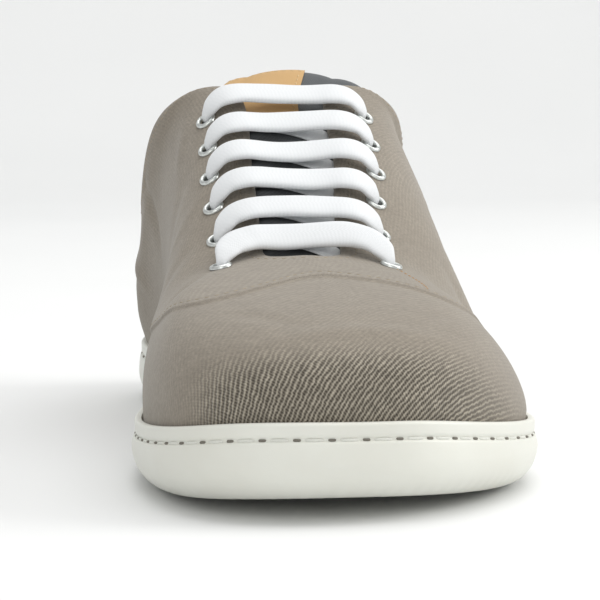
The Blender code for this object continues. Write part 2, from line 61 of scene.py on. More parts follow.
# Sole
TOE_SPRING = 0.0070
SPRING_LENGTH = 0.085
ARCH_RISE = 0.0020
ARCH_MIDDLE = 0.58  # of the length
ARCH_SPAN = 0.15
BASE_THICKNESS = 0.0045
LIP_HEIGHT = 0.0034
LIP_WIDTH = 0.0020
LIP_SETBACK = 0.0008
LIP_ROUND = 0.0008
GROOVE_DEPTH = 0.0004
GROOVE_HEIGHT = 0.0009
WALL_LEAN = 0.45 * LIP_SETBACK  # how far the wall leans in below the groove
TURN_UNDER = 0.0085
TURN_HEIGHT = 0.0095
CUP_INSET = LIP_SETBACK + LIP_WIDTH
CUP_BEVEL = (0.0003, 0.0004)  # across and down
CUP_RING_DEPTH = 0.0030  # rim to the next ring down the cup's wall
TREAD_PITCH = 0.0046  # fine waves along the sole's lower edge
TREAD_RELIEF = 0.0003
LUG_PITCH = 0.0080  # grooves across the underside
LUG_GROOVE = 0.0010
LUG_WAVE = 0.0014  # how far they wave forwards
LUG_WAVE_PITCH = 0.0135
LUG_FIELDS = ((0.06, 0.50), (0.66, 0.97))  # where they start and end, as shares of the length
LUG_FADE = 0.03

# Upper
WALL = 0.0018
QUARTER_STEP = 0.0007
SEAM_RAMP = 0.022  # share of a rib that the step takes
RIB_LENGTH = 0.090  # about the length of a rib on the vamp
SEAM_FOOT = 5.3  # row at which the quarter's front seam runs down to the sole
SEAM_PULL = (0.0022, 0.0008, 0.00008)  # how far back the thread pulls the cloth, how wide and deep
THROAT_TOP = 7.0  # row of the throat's upper corner
WALL_CHART_ROW = 6.0  # row at which the weave starts to follow the walls
QUARTER_GRAIN = -18.0  # degrees between the quarter's weave and the vamp's
FOOT_TUCK = 0.0040  # how far the cloth reaches down inside the rim
LINING_LIFT = 0.002  # cup's floor to the lining's foot
GAP_SHADE_END = 0.085  # toe to where the painted shade in the rib gaps ends
GAP_SHADE_FADE = 0.040
CREASE_REACH = 0.012  # how far through the shoe a crease is felt
INSOLE_THICKNESS = 0.0035
INSOLE_ROUND = 0.0012
TWILL_PITCH = 0.00112
TWILL_LEAN = 33.0  # degrees from the shoe's own length

# Stitches: from middle to middle, their length, the thread's radius, and its lift over its path
Stitch = namedtuple("Stitch", "pitch length radius lift")
SOLE_STITCH = Stitch(0.0083, 0.0060, 0.00046, -0.00008)
# painted shade: dark marks standing for the shade in the stitch holes between the stitches
SOLE_HOLE_SHADE = SOLE_STITCH._replace(length=0.0023, radius=0.00034, lift=0.00004)
SEAM_STITCH = Stitch(0.0026, 0.0018, 0.00015, -0.00008)
EDGE_STITCH = SEAM_STITCH._replace(lift=0.0)
HEEL_STITCH = SEAM_STITCH._replace(lift=0.0001)
SIDE_STITCH = SEAM_STITCH._replace(radius=0.00024, lift=-0.00003)
TAB_STITCH = Stitch(0.0024, 0.0017, 0.00020, 0.0)
SEAM_SETBACK = 0.0024  # from the quarter's front edge back to its stitches
EDGE_SETBACK = 0.0030  # from the opening's edge down to its stitches
HEEL_SEAM_ROWS = 0.16  # from the back of the heel to the stitches on each side
SIDE_ROW_ENDS = ((-2.9, 0.86), (-1.75, 0.72))  # row and share of each end

# Eyelets and laces
EYELETS_A_SIDE = 6
EYELET_FIRST = 0.3526 * LENGTH  # toe to the first one's place on the throat's edge
EYELET_PITCH = 0.0481 * LENGTH
EYELET_SETBACK = 0.0110
EYELET_FIRST_SETBACK = 0.0138
EYELET_BORE = 0.0017
EYELET_BARREL = 0.0021
EYELET_FLANGE = 0.0031
EYELET_CROWN = 0.0009
EYELET_BEVEL = (0.0002, 0.0003)  # across and up, at the bore's inner end
EYELET_PUNCH = (0.006, 0.95 * EYELET_BARREL)  # depth and radius of the hole in the cloth
SEAT = 0.0001  # between a piece and the face that it lies on
LACE_WIDTH = 0.0094
LACE_THICKNESS = 0.0027
LACE_LIFT = 0.0030  # upper's surface to the middle of the lace
LACE_SHOULDER = 0.0036  # how far a bar stands up near its ends
LACE_BOW = 0.0038  # how far the middle of a bar lies up the throat
LACE_SWAY = 0.0005  # a slow wave that differs from bar to bar
LACE_FIRST_TILT = radians(22)  # the lowest bar stands up along its upper edge
LACE_TAPER = 0.35  # how much narrower a bar's ends are
LACE_BORE_DEPTHS = (-0.0030, -0.0018, -0.0006, 0.0008, 0.0018)
LACE_BORE_SIDE = 0.0006  # how far it lies towards the throat in the bore
LACE_IN_BORE = (0.0026, 0.0020)  # wide and thick
LACE_UNDER = (0.0080, 0.0013)  # wide and thick
LACE_ASIDE = 0.0070  # how far the hidden end lies outside the row of eyelets
LACE_STEP = 0.0006
LACE_SIDES = 24
BAR_STEPS = (8, 30)  # over each quarter and over the open throat
RUN_STEPS = (4, 24)
BRAID_PITCH = 0.0011
STRAND_PITCH = 0.0012

# Tongue and its tab
TONGUE_GAP = 0.0015
TONGUE_THICKNESS = 0.0035
TONGUE_SIDE = 0.0160
TONGUE_FRONT = 0.0080
TONGUE_CROWN = 0.0020
TONGUE_RISE = 0.0168
TONGUE_LEAN = 0.0050
TONGUE_TAPER = 0.10
TAB_THICKNESS = 0.0006
UNDER_LIFT = LACE_UNDER[1] / 2 + SEAT - WALL - TONGUE_GAP  # upper's surface to a hidden run

# How finely the curves are cut
AROUND = 420
SOLE_AROUND = 600
INSOLE_AROUND = 240
LINING_RINGS = 30
TONGUE_STEPS = (8, 20)  # under each quarter and under the open throat
TONGUE_ROWS = 46
TONGUE_END_ROWS = 16
TAB_ROWS = slice(TONGUE_ROWS - 3, None)  # the part of the tongue that the tab covers
TAB_STEPS = slice(TONGUE_STEPS[0] - 4, TONGUE_STEPS[0] + 14)

# Going round from the toe by the medial side, each row gives a rib's foot and edge as shares of
# LENGTH and BALL_WIDTH, the rim's height as a share of SIDE_HEIGHT, and the edge's height as shares
# of INSTEP_HEIGHT and HEEL_HEIGHT. The rib leaves the rim upwards by rise (share of its climb) and
# outwards by flare (share of BALL_WIDTH). It meets the edge from reach outside it (share of
# BALL_WIDTH) and drop below it (share of its climb). The quarter's front seam crosses at seam.
Rib = namedtuple("Rib", "name along across rim edge_along edge_across instep heel rise flare reach drop seam")
RIBS = (
    Rib("toe", 0.005, -0.015, 1.46, 0.333, -0.045, 0.570, 0.000, 0.74, 0.028, 0.579, 0.23, 0.846),
    Rib("big toe", 0.004, -0.174, 1.47, 0.334, -0.085, 0.568, 0.000, 0.75, 0.028, 0.561, 0.24, 0.815),
    Rib("toe corner", 0.032, -0.347, 1.41, 0.340, -0.122, 0.566, 0.000, 0.68, 0.037, 0.486, 0.24, 0.650),
    Rib("toe side", 0.112, -0.473, 1.21, 0.353, -0.148, 0.570, 0.000, 0.62, 0.037, 0.310, 0.19, 0.520),
    Rib("ball", 0.263, -0.501, 0.985, 0.382, -0.153, 0.607, 0.000, 0.56, 0.019, 0.212, 0.15, 0.360),
    Rib("waist", 0.407, -0.435, 0.96, 0.442, -0.142, 0.705, 0.000, 0.58, 0.006, 0.205, 0.06, 0.200),
    Rib("arch", 0.540, -0.356, 1.00, 0.526, -0.130, 0.838, 0.000, 0.57, 0.020, 0.224, 0.02, 0.120),
    Rib("instep", 0.653, -0.328, 1.04, 0.628, -0.132, 1.000, 0.000, 0.52, 0.030, 0.224, 0.01, 0.160),
    Rib("shoulder", 0.723, -0.333, 1.07, 0.663, -0.270, 0.980, 0.000, 0.51, 0.028, 0.075, 0.05, 0.200),
    Rib("ankle front", 0.786, -0.347, 1.10, 0.712, -0.345, 0.452, 0.500, 0.48, 0.034, -0.003, 0.22, 0.250),
    Rib("ankle", 0.856, -0.347, 1.14, 0.789, -0.348, 0.000, 0.844, 0.34, 0.064, -0.012, 0.35, 0.300),
    Rib("ankle back", 0.926, -0.286, 1.17, 0.874, -0.308, 0.000, 0.840, 0.36, 0.070, -0.008, 0.41, 0.300),
    Rib("heel side", 0.977, -0.160, 1.19, 0.933, -0.183, 0.000, 0.935, 0.38, 0.056, -0.018, 0.42, 0.300),
    Rib("heel", 0.995, -0.015, 1.20, 0.951, -0.015, 0.000, 1.000, 0.35, 0.052, -0.026, 0.44, 0.300),
    Rib("outer heel side", 0.977, 0.130, 1.19, 0.933, 0.153, 0.000, 0.935, 0.38, 0.056, -0.018, 0.42, 0.300),
    Rib("outer ankle back", 0.926, 0.252, 1.17, 0.874, 0.289, 0.000, 0.840, 0.45, 0.060, 0.000, 0.41, 0.300),
    Rib("outer ankle", 0.853, 0.322, 1.14, 0.789, 0.354, 0.000, 0.831, 0.44, 0.056, 0.009, 0.36, 0.300),
    Rib("outer ankle front", 0.779, 0.336, 1.10, 0.712, 0.378, 0.452, 0.500, 0.50, 0.056, 0.019, 0.22, 0.250),
    Rib("outer shoulder", 0.709, 0.345, 1.06, 0.663, 0.292, 0.985, 0.000, 0.48, 0.065, 0.084, 0.05, 0.200),
    Rib("outer instep", 0.635, 0.368, 1.04, 0.628, 0.140, 1.000, 0.000, 0.47, 0.065, 0.280, 0.01, 0.160),
    Rib("outer waist", 0.533, 0.420, 1.00, 0.526, 0.116, 0.838, 0.000, 0.51, 0.056, 0.290, 0.03, 0.120),
    Rib("outer mid", 0.425, 0.471, 0.95, 0.442, 0.085, 0.705, 0.000, 0.41, 0.026, 0.300, 0.06, 0.200),
    Rib("outer ball", 0.309, 0.504, 0.94, 0.382, 0.073, 0.607, 0.000, 0.22, 0.016, 0.256, 0.09, 0.360),
    Rib("outer toe side", 0.175, 0.453, 1.06, 0.353, 0.060, 0.570, 0.000, 0.28, 0.024, 0.332, 0.15, 0.540),
    Rib("outer toe corner", 0.070, 0.284, 1.28, 0.340, 0.020, 0.566, 0.000, 0.52, 0.028, 0.480, 0.22, 0.650),
    Rib("little toe", 0.019, 0.121, 1.43, 0.334, -0.010, 0.568, 0.000, 0.67, 0.028, 0.561, 0.23, 0.792),
)
ROWS = len(RIBS)

# Soft troughs and ridges in the cloth. Each crosses the point at a row and a share of its rib. It
# runs in the direction given by turn (degrees from level) and is long and wide in metres. Depth is
# outward in metres, so a trough's is negative.
Crease = namedtuple("Crease", "row share turn long wide depth")
CREASES = (
    Crease(0.0, 0.42, 4, 0.040, 0.0065, 0.0007),
    Crease(1.3, 0.52, 10, 0.022, 0.0050, -0.0004),
    Crease(24.6, 0.55, -8, 0.026, 0.0055, -0.0005),
    Crease(3.2, 0.66, 35, 0.020, 0.0045, -0.0007),
    Crease(4.6, 0.52, 55, 0.026, 0.0060, -0.0005),
    Crease(5.3, 0.60, 62, 0.026, 0.0055, 0.0004),
    Crease(5.9, 0.55, 58, 0.030, 0.0065, -0.0004),
    Crease(6.6, 0.66, 42, 0.020, 0.0045, 0.0006),
    Crease(8.4, 0.45, 40, 0.030, 0.0070, -0.0012),
    Crease(9.6, 0.40, 20, 0.026, 0.0065, 0.0009),
    Crease(11.0, 0.35, 6, 0.030, 0.0065, -0.0009),
    Crease(15.0, 0.35, -6, 0.030, 0.0065, -0.0009),
    Crease(17.4, 0.42, -30, 0.030, 0.0070, -0.0012),
    Crease(19.6, 0.50, -50, 0.028, 0.0055, 0.0008),
    Crease(20.6, 0.45, -55, 0.030, 0.0060, -0.0010),
    Crease(21.6, 0.50, -48, 0.024, 0.0050, -0.0008),
    Crease(22.6, 0.62, -30, 0.022, 0.0050, -0.0007),
)


# Curves round the shoe


def unit(vectors):
    return vectors / np.linalg.norm(vectors, axis=-1, keepdims=True)


def lengths_up(points):
    """How far each point lies from the first one, measured along the first axis."""
    steps = np.linalg.norm(np.diff(points, axis=0), axis=-1)
    return np.concatenate([0 * steps[:1], np.cumsum(steps, axis=0)])


def closed_curve(values, at):
    """A smooth closed curve through one value a row, read at row numbers."""
    values = np.asarray(values, float)
    one = np.eye(len(values))
    system = 4 * one + np.roll(one, 1, 0) + np.roll(one, -1, 0)
    bend = np.linalg.solve(system, 6 * (np.roll(values, 1) - 2 * values + np.roll(values, -1)))
    low = np.floor(at).astype(int)
    after = at - low
    before = 1 - after
    low = low % len(values)
    high = (low + 1) % len(values)
    straight = before * values[low] + after * values[high]
    curved = (before**3 - before) * bend[low] + (after**3 - after) * bend[high]
    return straight + curved / 6


def column(name, at):
    return closed_curve([getattr(rib, name) for rib in RIBS], at)


def extent(name):
    values = column(name, np.linspace(0, ROWS, 2000, endpoint=False))
    return values.min(), values.max()


ALONG_EXTENT = extent("along")
ACROSS_EXTENT = extent("across")


def plan(along, across):
    x = (across - ACROSS_EXTENT[0]) / (ACROSS_EXTENT[1] - ACROSS_EXTENT[0]) - 0.5
    y = (along - ALONG_EXTENT[0]) / (ALONG_EXTENT[1] - ALONG_EXTENT[0]) - 0.5
    return x * BALL_WIDTH, y * LENGTH


def outline(at):
    return plan(column("along", at), column("across", at))


def outward(at):
    step = 0.01
    before_x, before_y = outline(at - step)
    after_x, after_y = outline(at + step)
    x, y = before_y - after_y, after_x - before_x
    size = np.hypot(x, y)
    return x / size, y / size


def inset_outline(at, inset):
    x, y = outline(at)
    out_x, out_y = outward(at)
    return x - inset * out_x, y - inset * out_y


def ring_at(at, inset, height):
    """Points set in from the outline. The height is one a row, or a function of x and y."""
    x, y = inset_outline(at, inset)
    return np.stack([x, y, height(x, y) if callable(height) else height], -1)


def rim_height(at):
    return column("rim", at) * SIDE_HEIGHT


def ground(x, y):
    from_toe = y + LENGTH / 2
    spring = TOE_SPRING * np.clip(1 - from_toe / SPRING_LENGTH, 0, None) ** 2
    middle = np.clip(1 - ((from_toe / LENGTH - ARCH_MIDDLE) / ARCH_SPAN) ** 2, 0, None) ** 2
    medial = np.clip(-3 * x / BALL_WIDTH, 0, 1) ** 2
    return spring + ARCH_RISE * middle * medial


def base_top(x, y):
    return ground(x, y) + BASE_THICKNESS


def even_rows(count):
    """Row numbers that lie evenly along the sole's outline."""
    fine = np.linspace(0, ROWS, 4001)
    x, y = outline(fine)
    run = np.concatenate([[0], np.cumsum(np.hypot(np.diff(x), np.diff(y)))])
    return np.interp(np.arange(count) * run[-1] / count, run, fine), run[-1]


# The upper's surface


def surface(at, share):
    """Points on the upper's ribs: share 0 at the sole's rim and 1 at the opening's edge."""
    rim = rim_height(at)
    foot_x, foot_y = inset_outline(at, CUP_INSET + FIT_GAP)
    edge_x, edge_y = plan(column("edge_along", at), column("edge_across", at))
    edge_z = column("instep", at) * INSTEP_HEIGHT + column("heel", at) * HEEL_HEIGHT
    climb = edge_z - rim
    out_x, out_y = outward(at)
    flare = column("flare", at) * BALL_WIDTH
    reach = column("reach", at) * BALL_WIDTH
    foot = np.stack([foot_x, foot_y, rim], -1)
    edge = np.stack([edge_x, edge_y, edge_z], -1)
    above_foot = foot + np.stack([out_x * flare, out_y * flare, column("rise", at) * climb], -1)
    below_edge = edge + np.stack([out_x * reach, out_y * reach, -column("drop", at) * climb], -1)
    share = share[..., None]
    left = 1 - share
    near_foot = left**3 * foot + 3 * left**2 * share * above_foot
    return near_foot + 3 * left * share**2 * below_edge + share**3 * edge


def surface_normal(at, share):
    step = 0.004
    around = surface(at + step, share) - surface(at - step, share)
    upwards = surface(at, share + step) - surface(at, share - step)
    return unit(np.cross(upwards, around))


def share_below_edge(at, depth):
    """The share of each rib that lies a given length below the opening's edge."""
    shares = np.linspace(1.0, 0.3, 120)
    lengths = lengths_up(surface(at, np.repeat(shares[:, None], len(at), 1)))
    return np.array([np.interp(depth[i], lengths[:, i], shares) for i in range(len(at))])


def quarter_cover(at):
    """1 where the quarter reaches down to the sole and 0 where the vamp does."""
    from_toe = np.minimum(at % ROWS, ROWS - at % ROWS)
    return np.clip((from_toe - SEAM_FOOT) * 8 + 0.5, 0, 1)


def smooth(values):
    values = np.clip(values, 0, 1)
    return values * values * (3 - 2 * values)


def crease_height(at, share):
    """How far the creases lift the cloth at rows and shares."""
    here = surface(at, share)
    height = np.zeros(np.shape(at))
    for crease in CREASES:
        row = np.array([crease.row])
        place = np.array([crease.share])
        middle = surface(row, place)[0]
        normal = surface_normal(row, place)[0]
        level = unit(np.cross(normal, (0, 0, 1)))
        turn = radians(crease.turn)
        run = level * cos(turn) + np.cross(level, normal) * sin(turn)
        away = here - middle
        along = (away @ run) / (crease.long / 2)
        aside = away @ np.cross(normal, run) + 0.12 * crease.wide * np.sin(2 * along)
        across = aside / (crease.wide / 2)
        depth = (away @ normal) / CREASE_REACH
        height += crease.depth * np.exp(-along**2 - across**2 - depth**2)
    return height


def cloth_point(at, share, lift=0.0):
    """The outer face of the cloth, with its creases, lifted by a distance."""
    normal = surface_normal(at, share)
    edge_calm = smooth((1 - share) / 0.12) * smooth(share / 0.08)
    height = crease_height(at, share) * edge_calm + lift
    return surface(at, share) + normal * height[..., None], normal


# Meshes


def make_mesh(name, points, faces, sharp_degrees=40, outwards=True):
    mesh = bpy.data.meshes.new(name)
    mesh.from_pydata([tuple(point) for point in points], [], faces)
    if outwards:
        work = bmesh.new()
        work.from_mesh(mesh)
        bmesh.ops.recalc_face_normals(work, faces=work.faces)
        work.to_mesh(mesh)
        work.free()
    mesh.shade_smooth()
    mesh.set_sharp_from_angle(angle=radians(sharp_degrees))
    return mesh


def add_object(name, data, place=None, facing=None, axis="Z"):
    """Links an object, at a place and with one of its axes in a direction where these are given."""
    thing = bpy.data.objects.new(name, data)
    bpy.context.scene.collection.objects.link(thing)
    if place is not None:
        thing.location = place
        thing.rotation_mode = "QUATERNION"
        thing.rotation_quaternion = Vector(facing).to_track_quat(axis, "Y")
    return thing


def add_piece(name, mesh, material, slot, *nodes, seat=()):
    piece = add_object(name, mesh, *seat)
    if not mesh.materials:
        mesh.materials.append(material)
    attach(piece, "root")
    if nodes:
        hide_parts(*nodes)
    return piece


def grid_faces(rows, columns, closed, first=0):
    faces = []
    for i in range(rows - 1):
        for j in range(columns if closed else columns - 1):
            a = first + i * columns + j
            b = first + i * columns + (j + 1) % columns
            faces.append((a, b, b + columns, a + columns))
    return faces


def add_uvs(mesh, places):
    """Writes one UV a vertex, in metres of cloth."""
    layer = mesh.uv_layers.new(name="cloth")
    corners = np.zeros(len(mesh.loops), int)
    mesh.loops.foreach_get("vertex_index", corners)
    layer.data.foreach_set("uv", np.asarray(places, np.float32)[corners].ravel())


def grid_uvs(grid):
    """UVs in metres for a grid of points, measured along its rows and columns."""
    across = np.linalg.norm(np.diff(grid, axis=1), axis=-1)
    across = np.hstack([np.zeros((len(grid), 1)), np.cumsum(across, axis=1)])
    across = across - across[:, -1:] / 2
    along = np.linalg.norm(np.diff(grid, axis=0), axis=-1).mean(axis=1)
    along = np.concatenate([[0], np.cumsum(along)])
    return np.stack([across, np.repeat(along[:, None], grid.shape[1], 1)], -1)


def sheet_mesh(name, top, bottom, flat):
    """A closed sheet between two grids, with UVs measured on a third."""
    rows, columns = top.shape[:2]
    points = list(top.reshape(-1, 3)) + list(bottom.reshape(-1, 3))
    under = rows * columns
    faces = grid_faces(rows, columns, False)
    faces += [tuple(reversed(face)) for face in grid_faces(rows, columns, False, under)]
    for i in range(rows - 1):
        for a in (i * columns, i * columns + columns - 1):
            faces.append((a, a + columns, under + a + columns, under + a))
    for i in (0, rows - 1):
        for j in range(columns - 1):
            a = i * columns + j
            faces.append((a, a + 1, under + a + 1, under + a))
    mesh = make_mesh(name, points, faces, 60)
    add_uvs(mesh, np.vstack([grid_uvs(flat).reshape(-1, 2)] * 2))
    return mesh


def stitch_line(points, faces, path, normals, stitch, start=0.5):
    """Adds rounded stitches along a path of points, each bedded at its ends."""
    run = lengths_up(path)
    rings, sides = 7, 8
    t = np.linspace(-1, 1, rings)
    round_end = np.sqrt(np.clip(1 - t**4, 0.02, 1))
    for k in range(int(run[-1] / stitch.pitch)):
        at = (k + start) * stitch.pitch + t * stitch.length / 2
        if at[0] < 0 or at[-1] > run[-1]:
            continue
        read = [[np.interp(at, run, line[:, axis]) for axis in range(3)] for line in (path, normals)]
        centre, normal = np.moveaxis(read, 1, -1)
        normal = unit(normal)
        across = np.cross(unit(np.gradient(centre, axis=0)), normal)
        centre = centre + normal * (stitch.lift - stitch.radius * 1.6 * t[:, None] ** 4)
        first = len(points)
        for i in range(rings):
            for j in range(sides):
                turn = 2 * pi * j / sides
                offset = across[i] * cos(turn) + normal[i] * sin(turn)
                points.append(centre[i] + offset * stitch.radius * round_end[i])
        faces += grid_faces(rings, sides, True, first)
        faces.append(tuple(reversed(range(first, first + sides))))
        faces.append(tuple(range(first + (rings - 1) * sides, first + rings * sides)))


def add_stitches(name, material, slot, *lines):
    """One piece of stitches, along lines that each give a path, its normals and a kind of stitch."""
    points = []
    faces = []
    for line in lines:
        stitch_line(points, faces, *line)
    add_piece(name, make_mesh(name, points, faces, 60, False), material, slot)


# Materials


class Wire:
    """A value in a shader. Sums and products of it add the math nodes that they need."""

    def __init__(self, nodes, socket):
        self.nodes = nodes
        self.socket = socket

    def __add__(self, other):
        return self.nodes.math("ADD", self, other)

    def __sub__(self, other):
        return self.nodes.math("SUBTRACT", self, other)

    def __mul__(self, other):
        return self.nodes.math("MULTIPLY", self, other)

    def __truediv__(self, other):
        return self.nodes.math("DIVIDE", self, other)


class Nodes:
    """A material, to which shader nodes are added one by one."""

    def __init__(self, name):
        self.material = bpy.data.materials.new(name)
        self.material.use_nodes = True
        self.tree = self.material.node_tree

    def fill(self, inputs, values):
        for key, value in values.items():
            if isinstance(value, Wire):
                self.tree.links.new(value.socket, inputs[key])
            else:
                inputs[key].default_value = value

    def add(self, kind, values, output=0, **settings):
        node = self.tree.nodes.new(kind)
        for key, value in settings.items():
            setattr(node, key, value)
        self.fill(node.inputs, values)
        return Wire(self, node.outputs[output])

    def place(self):
        return self.add("ShaderNodeTexCoord", {}, "Object")

    def cloth(self):
        """The piece's own UVs, and the two numbers in them."""
        uv = self.add("ShaderNodeUVMap", {}, uv_map="cloth")
        return uv, *(self.add("ShaderNodeSeparateXYZ", {0: uv}, axis) for axis in (0, 1))

    def math(self, operation, *values):
        return self.add("ShaderNodeMath", dict(enumerate(values)), operation=operation)

    def sine(self, value, pitch=1.0):
        return self.math("SINE", value * (2 * pi / pitch))

    def noise(self, vector, scale, detail=4.0, roughness=0.55):
        values = {"Vector": vector, "Scale": scale, "Detail": detail, "Roughness": roughness}
        return self.add("ShaderNodeTexNoise", values)

    def ramp(self, value, *stops):
        """Runs from one colour to the other between two stops."""
        node = self.tree.nodes.new("ShaderNodeValToRGB")
        for element, (place, colour) in zip(node.color_ramp.elements, stops):
            element.position = place
            element.color = colour
        self.fill(node.inputs, {0: value})
        return Wire(self, node.outputs[0])

    def mix(self, share, first, second, blend="MIX"):
        values = {0: share, 6: first, 7: second}
        return self.add("ShaderNodeMix", values, 2, data_type="RGBA", blend_type=blend)

    def bump(self, height, distance, strength=1.0):
        values = {"Strength": strength, "Distance": distance, "Height": height}
        return self.add("ShaderNodeBump", values)

    def finish(self, colour, roughness, **looks):
        """Fills the shader's sockets, whose names have spaces where the looks have underscores."""
        values = {key.replace("_", " "): value for key, value in looks.items()}
        values.update({"Base Color": colour, "Roughness": roughness})
        self.fill(self.tree.nodes["Principled BSDF"].inputs, values)
        return self.material


def linear(*colour):
    """An sRGB colour of 0 to 255 as linear light."""
    return (*(((c / 255 + 0.055) / 1.055) ** 2.4 if c > 10 else c / 255 / 12.92 for c in colour), 1.0)


def grey(value):
    return (value, value, value, 1.0)


def twill_pattern(nodes, pitch, lean):
    """Slanting ribs in the cloth's own UVs: their height and the yarns along them."""
    uv, u, v = nodes.cloth()
    turn = radians(lean)
    slow = nodes.noise(uv, 90.0, 3.0) - 0.5
    quick = nodes.noise(uv, 700.0, 2.0) - 0.5
    across = u * cos(turn) - v * sin(turn) + (quick * 0.8 + slow) * (pitch * 1.1)
    along = u * sin(turn) + v * cos(turn)
    count = across / pitch
    rib = nodes.math("POWER", nodes.sine(count) * 0.5 + 0.5, 1.5)
    yarn = nodes.sine(along / (pitch * 0.62) + count * 0.5) * 0.5 + 0.5
    return uv, rib, yarn


def canvas_material():
    """Thin ribs over gaps, with painted shade in the gaps and painted light on the ribs where the cloth faces
    forward at the toe.
    """
    nodes = Nodes("canvas twill")
    uv, rib, yarn = twill_pattern(nodes, TWILL_PITCH, TWILL_LEAN)
    cloud = nodes.noise(uv, 45.0, 5.0, 0.6)
    patch = nodes.noise(uv, 260.0, 4.0, 0.65)
    grain = nodes.noise(uv, 1100.0, 3.0, 0.6)
    fuzz = nodes.noise(uv, 1800.0, 3.0, 0.7)
    # painted light and shade mask: 1 where the cloth near the toe faces forward
    toe_gap_shade = nodes.add("ShaderNodeAttribute", {}, "Fac", attribute_name="toe_gap_shade")
    flat = nodes.ramp(cloud, (0.30, linear(127, 119, 107)), (0.72, linear(139, 131, 118)))
    # under that mask the gaps darken as painted shade and the ribs lighten as painted light
    gap = nodes.mix(toe_gap_shade, linear(133, 125, 114), linear(64, 58, 50))
    light = nodes.mix(toe_gap_shade, flat, linear(176, 168, 152))
    light = nodes.mix(fuzz * 0.3, light, linear(182, 175, 161))
    thread = yarn * 0.26 + rib * 0.74
    colour = nodes.mix(thread * (patch * 0.8 + 0.6), gap, light)
    worn = nodes.ramp(patch, (0.35, grey(0.94)), (0.65, grey(1.03)))
    colour = nodes.mix(1.0, colour, worn, "MULTIPLY")
    speckle = nodes.ramp(grain, (0.32, grey(0.86)), (0.68, grey(1.10)))
    colour = nodes.mix(1.0, colour, speckle, "MULTIPLY")
    height = (yarn * 0.25 + 0.75) * rib * (toe_gap_shade * 0.93 + 0.07) + grain * 0.35
    looks = {"Sheen_Weight": 0.2, "Sheen_Roughness": 0.5, "Specular_IOR_Level": 0.2}
    return nodes.finish(colour, 0.92, Normal=nodes.bump(height, 0.00030), **looks)


def rubber_material():
    nodes = Nodes("moulded rubber")
    cloud = nodes.noise(nodes.place(), 30.0)
    grain = nodes.noise(nodes.place(), 2200.0, 3.0, 0.6)
    colour = nodes.ramp(cloud, (0.30, linear(216, 216, 207)), (0.75, linear(223, 224, 216)))
    looks = {"Subsurface_Weight": 0.06, "Subsurface_Radius": (0.004, 0.0035, 0.003)}
    looks.update({"Coat_Weight": 0.12, "Coat_Roughness": 0.35})
    return nodes.finish(colour, grain * 0.16 + 0.38, Normal=nodes.bump(grain, 0.00004, 0.7), **looks)


def woven_material(name, warm, cool, pitch, depth, sheen=0.2, specular=0.25):
    """A plain weave in the piece's own UVs, between a lighter and a darker colour."""
    nodes = Nodes(name)
    uv, u, v = nodes.cloth()
    weave = nodes.sine(u, pitch) * nodes.sine(v, pitch) * 0.5 + 0.5
    fuzz = nodes.noise(uv, 2400.0, 3.0, 0.7)
    colour = nodes.mix(nodes.noise(uv, 80.0) * 0.5 + weave * 0.4, cool, warm)
    normal = nodes.bump(fuzz * 0.4 + weave * 0.6, depth)
    return nodes.finish(colour, 0.9, Normal=normal, Sheen_Weight=sheen, Specular_IOR_Level=specular)


def lace_material():
    """Flat braid: fine chevrons that meet on the lace's middle line."""
    nodes = Nodes("lace braid")
    uv, u, v = nodes.cloth()
    braid = nodes.sine(u + nodes.math("ABSOLUTE", v) * 0.8, BRAID_PITCH)
    relief = braid * nodes.sine(v, STRAND_PITCH) * 0.5 + 0.5
    fuzz = nodes.noise(uv, 2600.0, 3.0, 0.7)
    colour = nodes.mix(relief, linear(216, 219, 221), linear(221, 223, 225))
    normal = nodes.bump(fuzz * 0.35 + relief * 0.65, 0.00003)
    return nodes.finish(colour, 0.85, Normal=normal, Sheen_Weight=0.2, Specular_IOR_Level=0.3)


def thread_material(name, *colour):
    nodes = Nodes(name)
    fibre = nodes.noise(nodes.place(), 3000.0, 3.0, 0.6)
    light = linear(*colour)
    darker = (*(c * 0.72 for c in light[:3]), 1.0)
    return nodes.finish(nodes.mix(fibre, darker, light), 0.75, Normal=nodes.bump(fibre, 0.00008))


def metal_material():
    nodes = Nodes("eyelet metal")
    wear = nodes.noise(nodes.place(), 900.0, 4.0, 0.6)
    colour = nodes.ramp(wear, (0.30, linear(196, 200, 198)), (0.75, linear(222, 225, 222)))
    return nodes.finish(colour, wear * 0.2 + 0.22, Normal=nodes.bump(wear, 0.00002, 0.6), Metallic=0.85)


# Sole


